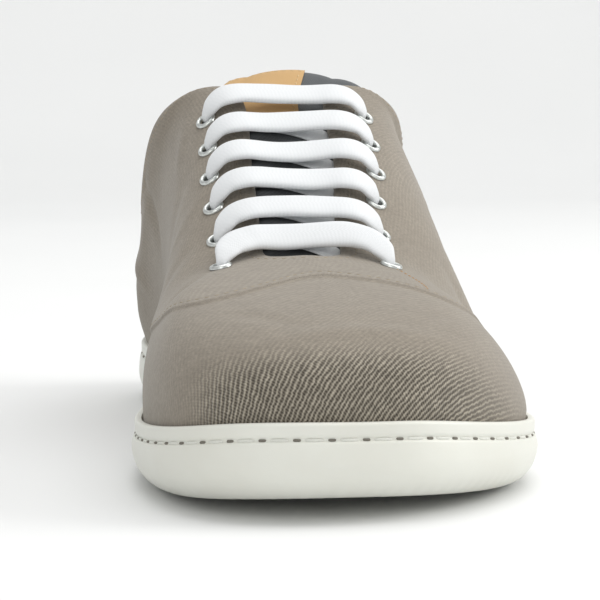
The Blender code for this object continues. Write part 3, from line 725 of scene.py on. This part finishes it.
def sole_profile(at, run):
    """Rings up the outer wall, over the lip and down into the cup, as (inset, height)."""
    rim = rim_height(at)
    floor = ground(*inset_outline(at, TURN_UNDER))
    wave = TREAD_RELIEF * np.sin(2 * pi * run / TREAD_PITCH)
    rings = []
    for turn in np.radians(np.linspace(90, 0, 15)):
        lower = np.sin(turn) ** 6 * np.cos(turn) * 2.2
        inset = TURN_UNDER * (1 - cos(turn)) + wave * lower
        rings.append((inset, floor + TURN_HEIGHT * (1 - sin(turn))))
    groove_top = rim - LIP_HEIGHT
    groove_inset = LIP_SETBACK + GROOVE_DEPTH
    wall_top = groove_top - 1.8 * GROOVE_HEIGHT
    rings.append((0.15 * LIP_SETBACK, (floor + TURN_HEIGHT + wall_top) / 2))
    rings.append((WALL_LEAN, wall_top))
    for angle in np.radians((25, 55, 80)):
        inset = WALL_LEAN + (groove_inset - WALL_LEAN) * (1 - cos(angle))
        rings.append((inset, wall_top + 0.8 * GROOVE_HEIGHT * sin(angle)))
    rings += [
        (groove_inset, groove_top - 0.7 * GROOVE_HEIGHT),
        (groove_inset, groove_top - 0.2 * GROOVE_HEIGHT),
        (LIP_SETBACK + 0.15 * GROOVE_DEPTH, groove_top + 0.3 * GROOVE_HEIGHT),
        (LIP_SETBACK, groove_top + 0.8 * GROOVE_HEIGHT),
        (LIP_SETBACK, rim - LIP_ROUND),
    ]
    for angle in np.radians((22, 45, 68, 90)):
        inset = LIP_SETBACK + LIP_ROUND * (1 - cos(angle))
        rings.append((inset, rim - LIP_ROUND * (1 - sin(angle))))
    bevel = [(CUP_INSET - CUP_BEVEL[0], rim), (CUP_INSET, rim - CUP_BEVEL[1])]
    return rings + bevel + [(CUP_INSET, rim - CUP_RING_DEPTH), (CUP_INSET, base_top)]


def add_sole(material):
    at, length = even_rows(SOLE_AROUND)
    run = np.arange(SOLE_AROUND) * length / SOLE_AROUND
    rings = [ring_at(at, inset, height) for inset, height in sole_profile(at, run)]
    points = list(np.vstack(rings))
    faces = grid_faces(len(rings), SOLE_AROUND, True)
    add_floor_of_ring(points, faces, 0, SOLE_AROUND, ground_with_tread)
    add_floor_of_ring(points, faces, (len(rings) - 1) * SOLE_AROUND, SOLE_AROUND, base_top)
    add_piece("sole_rubber", make_mesh("sole_rubber", points, faces, 38), material, "rubber", "sole")


def ground_with_tread(x, y):
    """The underside, with grooves that wave across the forefoot and the heel."""
    from_toe = (y + LENGTH / 2) / LENGTH
    phase = (y + LUG_WAVE * np.sin(2 * pi * x / LUG_WAVE_PITCH)) / LUG_PITCH
    groove = np.clip(np.cos(2 * pi * phase) - 0.55, 0, None) / 0.45
    field = 0
    for start, end in LUG_FIELDS:
        inside = smooth((from_toe - start) / LUG_FADE) * smooth((end - from_toe) / LUG_FADE)
        field = np.maximum(field, inside)
    return ground(x, y) + LUG_GROOVE * groove * field


def add_floor_of_ring(points, faces, first, count, height):
    """Closes a ring with smaller copies of itself that shrink to its middle line."""
    ring = np.array(points[first : first + count])
    spine_x = np.interp(ring[:, 1], *middle_line(ring))
    previous = first
    for share in np.linspace(1, 0, 41)[1:]:
        x = spine_x + (ring[:, 0] - spine_x) * share
        y = ring[:, 1] * (1 - 0.10 * (1 - share) ** 2)
        start = len(points)
        points += list(np.stack([x, y, height(x, y)], -1))
        for j in range(count):
            k = (j + 1) % count
            faces.append((previous + j, previous + k, start + k, start + j))
        previous = start
    for j in range(count // 2):
        corners = dict.fromkeys((j, j + 1, count - j - 1, (count - j) % count))
        faces.append(tuple(previous + corner for corner in corners))


def middle_line(ring):
    """Places along the shoe and the middle of the ring's width at each."""
    y = np.linspace(ring[:, 1].min(), ring[:, 1].max(), 60)
    half = len(ring) // 2
    sides = []
    for side in (ring[: half + 1], ring[half:]):
        side = side[np.argsort(side[:, 1])]
        sides.append(np.interp(y, side[:, 1], side[:, 0]))
    return y, (sides[0] + sides[1]) / 2


def add_sole_stitches(thread, hole_shade):
    """Long stitches bedded in the groove, from the heel round to the heel, and short dark marks between them,
    painted shade for the stitch holes.
    """
    at, _ = even_rows(1200)
    at = np.roll(at, len(at) // 2)
    at = np.append(at, at[0])
    height = rim_height(at) - LIP_HEIGHT - 0.75 * GROOVE_HEIGHT
    path = ring_at(at, LIP_SETBACK + 0.65 * GROOVE_DEPTH, height)
    normals = np.stack([*outward(at), np.zeros(len(at))], -1)
    add_stitches("sole_stitches", thread, "lace_cotton", (path, normals, SOLE_STITCH))
    add_stitches("sole_stitch_hole_shade", hole_shade, "rubber", (path, normals, SOLE_HOLE_SHADE, 0.0))


# Upper


def upper_shares(at):
    """Shares of the rings, which lie closer together beside the quarter's front seam."""
    seam = column("seam", at)
    spread = np.linspace(0, 1, 34)[:, None] ** 0.6
    low = spread * (seam - SEAM_RAMP)
    ramp = seam + np.linspace(-0.5, 0.5, 7)[:, None] * SEAM_RAMP
    above = np.linspace(0, 1, 44)[:, None] ** 1.4
    high = seam + SEAM_RAMP + above * (1 - seam - SEAM_RAMP)
    return np.vstack([low, ramp, high])


def seam_lift(at, share):
    """The quarter's thickness over the vamp, drawn down a little along its stitches."""
    seam = column("seam", at)
    cover = quarter_cover(at)
    over = np.maximum(smooth((share - seam) / SEAM_RAMP + 0.5), cover)
    back, wide, deep = SEAM_PULL
    pulled = np.exp(-(((share - seam) * RIB_LENGTH - back) / wide) ** 2)
    return QUARTER_STEP * over - deep * (1 - cover) * pulled


def cloth_uvs(at, points):
    """Where each point lies on the flat cloth.

    The vamp's is laid out from the opening's edge and the walls' from a line round the shoe at
    half height. They run into each other behind the eyelets and break at the back of the heel.
    """
    lengths = lengths_up(points)
    below_edge = lengths[-1] - lengths
    edge = points[-1][:, :2]
    out = unit(points[0][:, :2] - edge)
    vamp = edge[None] + out[None] * below_edge[..., None]
    from_toe = np.minimum(at, ROWS - at)
    medial = at < ROWS / 2
    middle = points[len(points) // 2]
    girth = np.linalg.norm(np.diff(middle, axis=0, append=middle[:1]), axis=-1)
    run = np.where(medial, np.cumsum(girth) - girth, np.cumsum(girth[::-1])[::-1])
    wall = np.zeros_like(vamp)
    for side in (medial, ~medial):
        start = np.argmin(np.abs(from_toe - WALL_CHART_ROW) + 100 * ~side)
        sign = -1 if medial[start] else 1
        wall[:, side, 0] = edge[start, 0] + sign * (lengths[-1, start] - lengths[:, side])
        wall[:, side, 1] = edge[start, 1] + run[side] - run[start]
    share = smooth((from_toe - WALL_CHART_ROW + 1) / 2)[None, :, None]
    return vamp * (1 - share) + wall * share


def turned(places, degrees):
    turn = radians(degrees)
    x, y = places[..., 0], places[..., 1]
    return np.stack([x * cos(turn) - y * sin(turn), x * sin(turn) + y * cos(turn)], -1)


def folded_edge(at, edge, normal):
    """Rings that carry the cloth over the opening's edge."""
    inwards = unit(surface(at, np.ones(AROUND)) - surface(at, np.full(AROUND, 0.97)))
    half = (WALL + QUARTER_STEP) / 2
    angles = np.radians((30, 60, 90, 120, 150))
    return [edge - normal * half * (1 - cos(a)) + inwards * half * sin(a) for a in angles]


def lining_face(at):
    """Rings down the upper's inner face, the last one in the cup."""
    shares = np.linspace(1, 0, LINING_RINGS)[:, None] + 0 * at
    places = np.repeat(at[None], LINING_RINGS, 0)
    inner = surface(places, shares) - surface_normal(places, shares) * WALL
    foot = inner[-1].copy()
    foot[:, 2] = base_top(foot[:, 0], foot[:, 1]) + LINING_LIFT
    return [*inner, foot]


def add_upper(material, lining):
    at = np.arange(AROUND) * ROWS / AROUND
    shares = upper_shares(at)
    places = np.repeat(at[None], len(shares), 0)
    outer, normal = cloth_point(places, shares, seam_lift(places, shares))
    uvs = cloth_uvs(at, outer)
    on_quarter = np.maximum(shares > column("seam", at), quarter_cover(at) > 0.5)[..., None]
    uvs = np.where(on_quarter, turned(uvs, QUARTER_GRAIN), uvs)
    fold = folded_edge(at, outer[-1], normal[-1])
    rings = [outer[0] - (0, 0, FOOT_TUCK), *outer, *fold, *lining_face(at)]
    mesh = make_mesh("upper_canvas", np.vstack(rings), grid_faces(len(rings), AROUND, True), 50)
    mesh.materials.append(material)
    mesh.materials.append(lining)
    lined = (len(outer) + len(fold)) * AROUND
    for face in mesh.polygons:
        if min(face.vertices) >= lined:
            face.material_index = 1
    inside = uvs[np.linspace(len(uvs) - 1, 0, LINING_RINGS).astype(int)]
    add_uvs(mesh, np.vstack([uvs[0], *uvs, *[uvs[-1]] * len(fold), *inside, uvs[0]]))
    # painted shade mask for the rib gaps: high on cloth near the toe that faces forward
    at_toe = smooth((GAP_SHADE_END - outer[..., 1] - LENGTH / 2) / GAP_SHADE_FADE)
    toe_gap_shade = np.zeros((len(rings), AROUND))
    toe_gap_shade[1 : len(outer) + 1] = smooth((-normal[..., 1] - 0.40) / 0.40) * at_toe
    toe_gap_shade[0] = toe_gap_shade[1]
    layer = mesh.attributes.new("toe_gap_shade", "FLOAT", "POINT")
    layer.data.foreach_set("value", toe_gap_shade.astype(np.float32).ravel())
    punch_eyelets(mesh)
    add_piece("upper_canvas", mesh, material, "canvas", "upper")


def punch_eyelets(mesh):
    """Takes the cloth out of each eyelet's bore."""
    depth, radius = EYELET_PUNCH
    work = bmesh.new()
    work.from_mesh(mesh)
    gone = set()
    for point, normal in eyelet_places():
        point, normal = Vector(point), Vector(normal)
        for face in work.faces:
            away = face.calc_center_median() - point
            if away.length < depth and (away - normal * away.dot(normal)).length < radius:
                gone.add(face)
    bmesh.ops.delete(work, geom=list(gone), context="FACES")
    work.to_mesh(mesh)
    work.free()


def quarter_line(rows, share):
    """Points and normals along the quarter's face, at a share for each row."""
    return cloth_point(rows % ROWS, share, QUARTER_STEP)


def add_upper_stitches(material):
    """Rows along the front seam, round the opening's edge and up both sides of the heel's back."""
    rows = np.linspace(-SEAM_FOOT, SEAM_FOOT, 700)
    seam = quarter_line(rows, column("seam", rows) + SEAM_SETBACK / RIB_LENGTH)
    rows = np.linspace(0, ROWS, 1600)
    edge = quarter_line(rows, share_below_edge(rows, np.full(len(rows), EDGE_SETBACK)))
    lines = [(*seam, SEAM_STITCH), (*edge, EDGE_STITCH)]
    share = np.linspace(0.10, 0.96, 300)
    for side in (-HEEL_SEAM_ROWS, HEEL_SEAM_ROWS):
        rows = np.full(len(share), ROWS / 2 + side)
        lines.append((*quarter_line(rows, share), HEEL_STITCH))
    add_stitches("upper_stitches", material, "canvas", *lines)


def add_side_stitches(material):
    """A short tan row that runs from beside the lowest outer eyelet down to the front seam."""
    rows, share = np.linspace(*SIDE_ROW_ENDS, 60).T
    add_stitches("side_stitches", material, "canvas", (*quarter_line(rows, share), SIDE_STITCH))


# Insole


def add_insole(material):
    at, _ = even_rows(INSOLE_AROUND)
    inset = CUP_INSET + WALL + 2 * FIT_GAP

    def level(height):
        return lambda x, y: base_top(x, y) + FIT_GAP + height

    rings = [ring_at(at, inset, level(0))]
    for angle in np.radians((0, 30, 60, 90)):
        height = INSOLE_THICKNESS - INSOLE_ROUND * (1 - sin(angle))
        rings.append(ring_at(at, inset + INSOLE_ROUND * sin(angle), level(height)))
    points = list(np.vstack(rings))
    faces = grid_faces(len(rings), INSOLE_AROUND, True)
    last = (len(rings) - 1) * INSOLE_AROUND
    add_floor_of_ring(points, faces, last, INSOLE_AROUND, level(INSOLE_THICKNESS))
    add_floor_of_ring(points, faces, 0, INSOLE_AROUND, level(0))
    mesh = make_mesh("insole_cloth", points, faces)
    add_uvs(mesh, np.array(points)[:, :2])
    add_piece("insole_cloth", mesh, material, "footbed", "insole")


# What crosses the throat


def edge_row(from_toe):
    rows = np.linspace(1.5, THROAT_TOP, 200)
    along = plan(column("edge_along", rows), 0)[1] + LENGTH / 2
    return float(np.interp(from_toe, along, rows))


def eyelet_rows():
    return [edge_row(EYELET_FIRST + k * EYELET_PITCH) for k in range(EYELETS_A_SIDE)]


def eyelet_places():
    """Points and normals on the quarters, first up the medial side and then up the lateral."""
    places = []
    for side_sign in (1, -1):
        at = np.array([side_sign * row % ROWS for row in eyelet_rows()])
        depths = [EYELET_FIRST_SETBACK] + [EYELET_SETBACK] * (EYELETS_A_SIDE - 1)
        share = share_below_edge(at, depths)
        places += list(zip(surface(at, share), surface_normal(at, share)))
    return places


def throat_row(row, depth, side_steps, bridge_steps):
    """Points and normals from one quarter, over the open throat, to the other quarter."""
    ends = np.array([row % ROWS, -row % ROWS])
    depths = np.linspace(depth, 0, side_steps + 1)
    sides = []
    for end in ends:
        at = np.full(len(depths), end)
        share = share_below_edge(at, depths)
        sides.append((surface(at, share), surface_normal(at, share)))
    edges = surface(ends, np.ones(2))
    tangent = unit(edges - surface(ends, np.full(2, 0.98))) * (1, 0, 1)
    gap = 0.8 * np.linalg.norm(edges[1] - edges[0])
    t = np.linspace(0, 1, bridge_steps + 1)[1:-1, None]
    start = (1 + 2 * t) * (1 - t) ** 2 * edges[0] + t * (1 - t) ** 2 * gap * tangent[0]
    finish = t**2 * (3 - 2 * t) * edges[1] + t**2 * (1 - t) * gap * tangent[1]
    edge_normal = surface_normal(ends, np.ones(2))
    bridge_normal = unit((1 - t) * edge_normal[0] + t * edge_normal[1])
    points = np.vstack([sides[0][0], start + finish, sides[1][0][::-1]])
    normals = np.vstack([sides[0][1], bridge_normal, sides[1][1][::-1]])
    return points, normals


def crown(side_steps, bridge_steps):
    """How high each point of a throat row is crowned: 0 on the quarters and 1 in the middle."""
    bridge = np.linspace(0, 1, bridge_steps + 1)
    flat = np.zeros(side_steps)
    return np.concatenate([flat, 4 * bridge * (1 - bridge), flat])


def tongue_top():
    """The tongue's upper face: rows under the throat, then rows that stand out of it."""
    rows = []
    normals = []
    crowned = crown(*TONGUE_STEPS)
    for k in range(TONGUE_ROWS + 1):
        row = THROAT_TOP * (k + 0.15) / (TONGUE_ROWS + 0.15)
        opened = min(1.0, row / 4)
        depth = TONGUE_FRONT + (TONGUE_SIDE - TONGUE_FRONT) * opened
        points, normal = throat_row(row, depth, *TONGUE_STEPS)
        lift = TONGUE_CROWN * opened * crowned - WALL - TONGUE_GAP
        rows.append(points + normal * lift[:, None])
        normals.append(normal)
    last = rows[-1]
    corner = TONGUE_STEPS[0]
    climb = unit((last[corner] - rows[-6][corner]) * (0, 1, 1))
    centre = last[:, 0].mean()
    for k in range(1, TONGUE_END_ROWS + 1):
        out = k / TONGUE_END_ROWS
        points = last + climb * TONGUE_RISE * out
        narrowed = (points[:, 0] - centre) * (1 - TONGUE_TAPER * out**2)
        points[:, 0] = centre + narrowed + TONGUE_LEAN * out
        rows.append(points)
        normals.append(normals[-1])
    return np.array(rows), np.array(normals)


def tongue_faces():
    """The tongue's upper and lower faces, drawn together at its sides and its end, and normals."""
    top, normal = tongue_top()
    rows, columns = top.shape[:2]
    edge = np.minimum(np.arange(columns), np.arange(columns)[::-1])
    end = rows - 1 - np.arange(rows)
    near = np.minimum(edge[None] / 3, end[:, None] / 4)
    swell = np.sqrt(1 - 0.80 * (1 - np.clip(near, 0, 1)) ** 2)
    middle = top - normal * TONGUE_THICKNESS / 2
    half = normal * TONGUE_THICKNESS / 2 * swell[..., None]
    return middle + half, middle - half, normal


def add_tongue(material):
    upper, lower, _ = tongue_faces()
    mesh = sheet_mesh("tongue_cloth", upper, lower, upper)
    tongue = add_piece("tongue_cloth", mesh, material, "tongue_cloth", "tongue")


def add_tab(material, thread):
    """A bare tab of cloth on the top of the tongue, stitched near its edge."""
    face, _, normal = tongue_faces()
    part = TAB_ROWS, TAB_STEPS
    normals = normal[part]
    seated = face[part] + normals * SEAT
    raised = seated + normals * TAB_THICKNESS
    mesh = sheet_mesh("tab_cloth", raised, seated, seated)
    add_piece("tab_cloth", mesh, material, "tan_cloth", "tongue_label")
    rows = [(raised[:-2, side], normals[:-2, side], TAB_STITCH) for side in (1, -2)]
    rows.append((raised[-3], normals[-3], TAB_STITCH))
    add_stitches("tab_stitches", thread, "tan_cloth", *rows)


def add_eyelets(material):
    seat = QUARTER_STEP + SEAT
    end = FIT_GAP - WALL
    across, up = EYELET_BEVEL
    profile = [(EYELET_BORE + across, end), (EYELET_BORE, end + up)]
    profile.append((EYELET_BORE, seat + 0.4 * EYELET_CROWN))
    middle = (EYELET_BORE + EYELET_FLANGE) / 2
    half = (EYELET_FLANGE - EYELET_BORE) / 2
    for angle in np.radians(np.linspace(170, 0, 12)):
        profile.append((middle + half * cos(angle), seat + EYELET_CROWN * 0.95 * sin(angle)))
    profile += [(EYELET_BARREL, seat), (EYELET_BARREL, end)]
    segments = 40
    points = []
    for k in range(segments):
        turn = 2 * pi * k / segments
        points += [(r * cos(turn), r * sin(turn), z) for r, z in profile]
    faces = grid_faces(segments + 1, len(profile), True)
    faces = [tuple(corner % len(points) for corner in face) for face in faces]
    mesh = make_mesh("eyelet_ring", points, faces, 60)
    for number, place in enumerate(eyelet_places(), 1):
        name = f"eyelet_ring_{number}"
        add_piece(name, mesh, material, "eyelet_metal", f"eyelet_{number}", seat=place)


def bar_route(number, row):
    """The middle line of one bar, from beside the medial eyelet to beside the lateral one."""
    setback = EYELET_FIRST_SETBACK if number == 0 else EYELET_SETBACK
    depth = setback - EYELET_BORE
    points, normals = throat_row(row, depth, *BAR_STEPS)
    higher = edge_row(EYELET_FIRST + number * EYELET_PITCH + LACE_BOW)
    along = np.linspace(-1, 1, len(points))[:, None]
    out = np.abs(along)
    bow = 1 - out**6
    points = points + (throat_row(higher, depth, *BAR_STEPS)[0] - points) * bow
    sway = LACE_SWAY * np.sin(3.1 * along + 1.7 * number) * (1 - out**2)
    points = points + normals * (LACE_LIFT + LACE_SHOULDER * out**2 * bow + sway)
    return points, normals


def under_route(lower_row, upper_row):
    """The middle line of a run under the quarters, from the lateral side up to the medial one."""
    depth = EYELET_SETBACK - EYELET_BORE
    low, low_normal = throat_row(lower_row, depth, *RUN_STEPS)
    high, high_normal = throat_row(upper_row, depth, *RUN_STEPS)
    share = np.linspace(1, 0, len(low))[:, None]
    points = low * (1 - share) + high * share
    normals = low_normal * (1 - share) + high_normal * share
    lift = TONGUE_CROWN * crown(*RUN_STEPS) + UNDER_LIFT
    return (points + normals * lift[:, None])[::-1], normals[::-1]


def hidden_run(rows):
    """The lace's hidden end, inside the medial quarter from the top eyelet down to the lowest one."""
    count = 60
    at = np.linspace(rows[-1], rows[0], count)
    aside = LACE_ASIDE * (1 - np.linspace(-1, 1, count) ** 6)
    share = share_below_edge(at, np.linspace(EYELET_SETBACK, EYELET_FIRST_SETBACK, count) + aside)
    normals = surface_normal(at, share)
    points = surface(at, share) + normals * UNDER_LIFT
    return points[4:], across_of(points, normals)[4:]


def across_of(points, normals):
    """The lace's width direction along a run of points."""
    return unit(np.cross(np.gradient(points, axis=0), normals))


def bore_run(seat, towards, flat):
    """The lace's way out through an eyelet, on the side towards the throat."""
    place, normal = seat
    inward = unit(towards - normal * np.dot(towards, normal)) * LACE_BORE_SIDE
    bore = place + inward + np.array(LACE_BORE_DEPTHS)[:, None] * normal
    return bore, np.array([flat] * len(bore)), np.array([LACE_IN_BORE] * len(bore))


def lace_route():
    """The lace's middle line, its width direction, and its width and thickness."""
    places = eyelet_places()
    rows = eyelet_rows()
    run, flat = hidden_run(rows)
    parts = [(run[:-1], flat[:-1], np.array([LACE_UNDER] * (len(run) - 1)))]
    for number, row in enumerate(rows):
        bar, normals = bar_route(number, row)
        across = across_of(bar, normals)
        if number == 0:
            across = across * cos(LACE_FIRST_TILT) - normals * sin(LACE_FIRST_TILT)
        near_end = smooth((np.abs(np.linspace(-1, 1, len(bar))) - 0.78) / 0.22)[:, None]
        full = (LACE_WIDTH, LACE_THICKNESS) * (1 - LACE_TAPER * near_end)
        last = bore_run(places[number + EYELETS_A_SIDE], bar[-4] - bar[-1], across[-1])
        parts.append(bore_run(places[number], bar[3] - bar[0], across[0]))
        parts.append((bar[1:-1], across[1:-1], full[1:-1]))
        parts.append(tuple(part[::-1] for part in last))
        if number + 1 < len(rows):
            run, run_normals = under_route(row, rows[number + 1])
            flat = across_of(run, -run_normals)
            size = np.array([LACE_UNDER] * len(run))
            parts.append((run[1:-1], flat[1:-1], size[1:-1]))
    return tuple(np.vstack([part[k] for part in parts]) for k in range(3))


def add_laces(material):
    """One flat lace: six bars over the throat, joined by slanting runs under the quarters."""
    route, across, size = lace_route()
    run = lengths_up(route)
    even = np.arange(0, run[-1], LACE_STEP)

    def evened(values, times):
        read = np.stack([np.interp(even, run, values[:, k]) for k in range(values.shape[1])], -1)
        for _ in range(times):
            read[1:-1] = (read[:-2] + 2 * read[1:-1] + read[2:]) / 4
        return read

    centre = evened(route, 3)
    across = evened(across, 4)
    size = evened(size, 3)
    tangent = unit(np.gradient(centre, axis=0))
    across -= tangent * (across * tangent).sum(axis=1, keepdims=True)
    across = unit(across)
    up = np.cross(across, tangent)
    turns = 2 * pi * np.arange(LACE_SIDES) / LACE_SIDES
    lobe_x = np.sign(np.cos(turns)) * np.abs(np.cos(turns)) ** 0.55
    lobe_y = np.sign(np.sin(turns)) * np.abs(np.sin(turns)) ** 0.85
    wide = size[:, :1] / 2 * lobe_x * (1 + 0.02 * np.sin(even * 410))[:, None]
    thick = size[:, 1:] / 2 * lobe_y
    rings = centre[:, None] + across[:, None] * wide[..., None] + up[:, None] * thick[..., None]
    points = list(rings.reshape(-1, 3))
    faces = grid_faces(len(centre), LACE_SIDES, True)
    last = (len(centre) - 1) * LACE_SIDES
    faces.append(tuple(range(LACE_SIDES)))
    faces.append(tuple(range(last, last + LACE_SIDES)))
    mesh = make_mesh("lace", points, faces, 70)
    length = np.repeat(even[:, None], LACE_SIDES, 1)
    add_uvs(mesh, np.stack([length, wide], -1).reshape(-1, 2))
    bars = [f"lace_bar_{k}" for k in range(1, EYELETS_A_SIDE + 1)]
    add_piece("lace", mesh, material, "lace_cotton", *bars)


# Stage

FLOOR_FRONT = -3.0
FLOOR_BACK = 1.2
FLOOR_HALF_WIDTH = 4.0
BACKDROP_ROUND = 0.8
BACKDROP_TOP = 4.0

# The camera stands where the photograph's does: low, in front and to the medial side.
CAMERA_PLACE = (-0.110, -0.772, 0.112)
CAMERA_AIM = (-0.008, -0.060, 0.046)
CAMERA_LENS = 165.0

# Each light's place, width, power and colour
LIGHT_AIM = (0.0, 0.0, 0.03)
LIGHTS = {
    "overhead": ((0.30, 0.25, 1.9), 2.2, 24.0, (1.0, 0.995, 0.985)),
    "side": ((1.30, -0.15, 0.75), 0.9, 9.5, (1.0, 0.985, 0.965)),
    "front": ((-0.35, -1.60, 0.75), 1.2, 6.0, (1.0, 0.985, 0.96)),
}
ROOM_LIGHT = 0.58


def add_stage():
    """A pale floor that curves up behind the shoe."""
    nodes = Nodes("pale floor")
    tone = nodes.noise(nodes.place(), 4.0, 2.0)
    colour = nodes.ramp(tone, (0.3, linear(230, 231, 231)), (0.7, linear(232, 233, 233)))
    profile = [(FLOOR_FRONT, 0.0), (FLOOR_BACK, 0.0)]
    for angle in np.radians(np.linspace(0, 90, 13)[1:]):
        profile.append((FLOOR_BACK + BACKDROP_ROUND * sin(angle), BACKDROP_ROUND * (1 - cos(angle))))
    profile.append((FLOOR_BACK + BACKDROP_ROUND, BACKDROP_TOP))
    points = [(x, y, z) for y, z in profile for x in (-FLOOR_HALF_WIDTH, FLOOR_HALF_WIDTH)]
    faces = [(2 * k, 2 * k + 1, 2 * k + 3, 2 * k + 2) for k in range(len(profile) - 1)]
    mesh = make_mesh("floor", points, faces, 60, False)
    mesh.materials.append(nodes.finish(colour, 0.9))
    add_object("floor", mesh)


def add_lights():
    """A big soft box above, smaller ones beside and in front, and an even white room."""
    for name, (place, size, power, colour) in LIGHTS.items():
        data = bpy.data.lights.new(name, "AREA")
        data.shape = "DISK"
        data.size = size
        data.energy = power
        data.color = colour
        add_object(name, data, place, Vector(LIGHT_AIM) - Vector(place), "-Z")
    world = bpy.data.worlds.new("studio")
    world.use_nodes = True
    background = world.node_tree.nodes["Background"]
    background.inputs["Color"].default_value = grey(1.0)
    background.inputs["Strength"].default_value = ROOM_LIGHT
    bpy.context.scene.world = world
    bpy.context.scene.view_settings.view_transform = "Standard"


def add_camera():
    data = bpy.data.cameras.new("camera")
    data.lens = CAMERA_LENS
    data.sensor_width = 36.0
    data.clip_start = 0.05
    data.clip_end = 20.0
    facing = Vector(CAMERA_AIM) - Vector(CAMERA_PLACE)
    bpy.context.scene.camera = add_object("camera", data, CAMERA_PLACE, facing, "-Z")


def main():
    add_camera()
    add_stage()
    add_lights()
    lining = woven_material("lining cloth", linear(196, 186, 168), linear(168, 158, 142), 0.0009, 0.00015)
    footbed = woven_material("footbed cloth", linear(170, 160, 142), linear(140, 130, 114), 0.0011, 0.00020)
    # painted shade: the tongue's colours are set darker to stand for the shade it lies in between the bars
    tongue = woven_material("tongue weave", linear(98, 103, 106), linear(60, 62, 64), 0.0008, 0.00015)
    tan = woven_material("tan tab", linear(206, 170, 118), linear(182, 146, 98), 0.0006, 0.00008, 0.1, 0.4)
    # painted shade for the sole's stitch holes
    hole_shade = thread_material("painted stitch-hole shade", 122, 118, 108)
    add_sole(rubber_material())
    add_sole_stitches(thread_material("sole thread", 228, 229, 221), hole_shade)
    add_upper(canvas_material(), lining)
    add_upper_stitches(thread_material("tan thread", 168, 156, 136))
    add_side_stitches(thread_material("side thread", 178, 140, 98))
    add_insole(footbed)
    add_tongue(tongue)
    add_tab(tan, thread_material("tab thread", 214, 186, 140))
    add_eyelets(metal_material())
    add_laces(lace_material())


main()
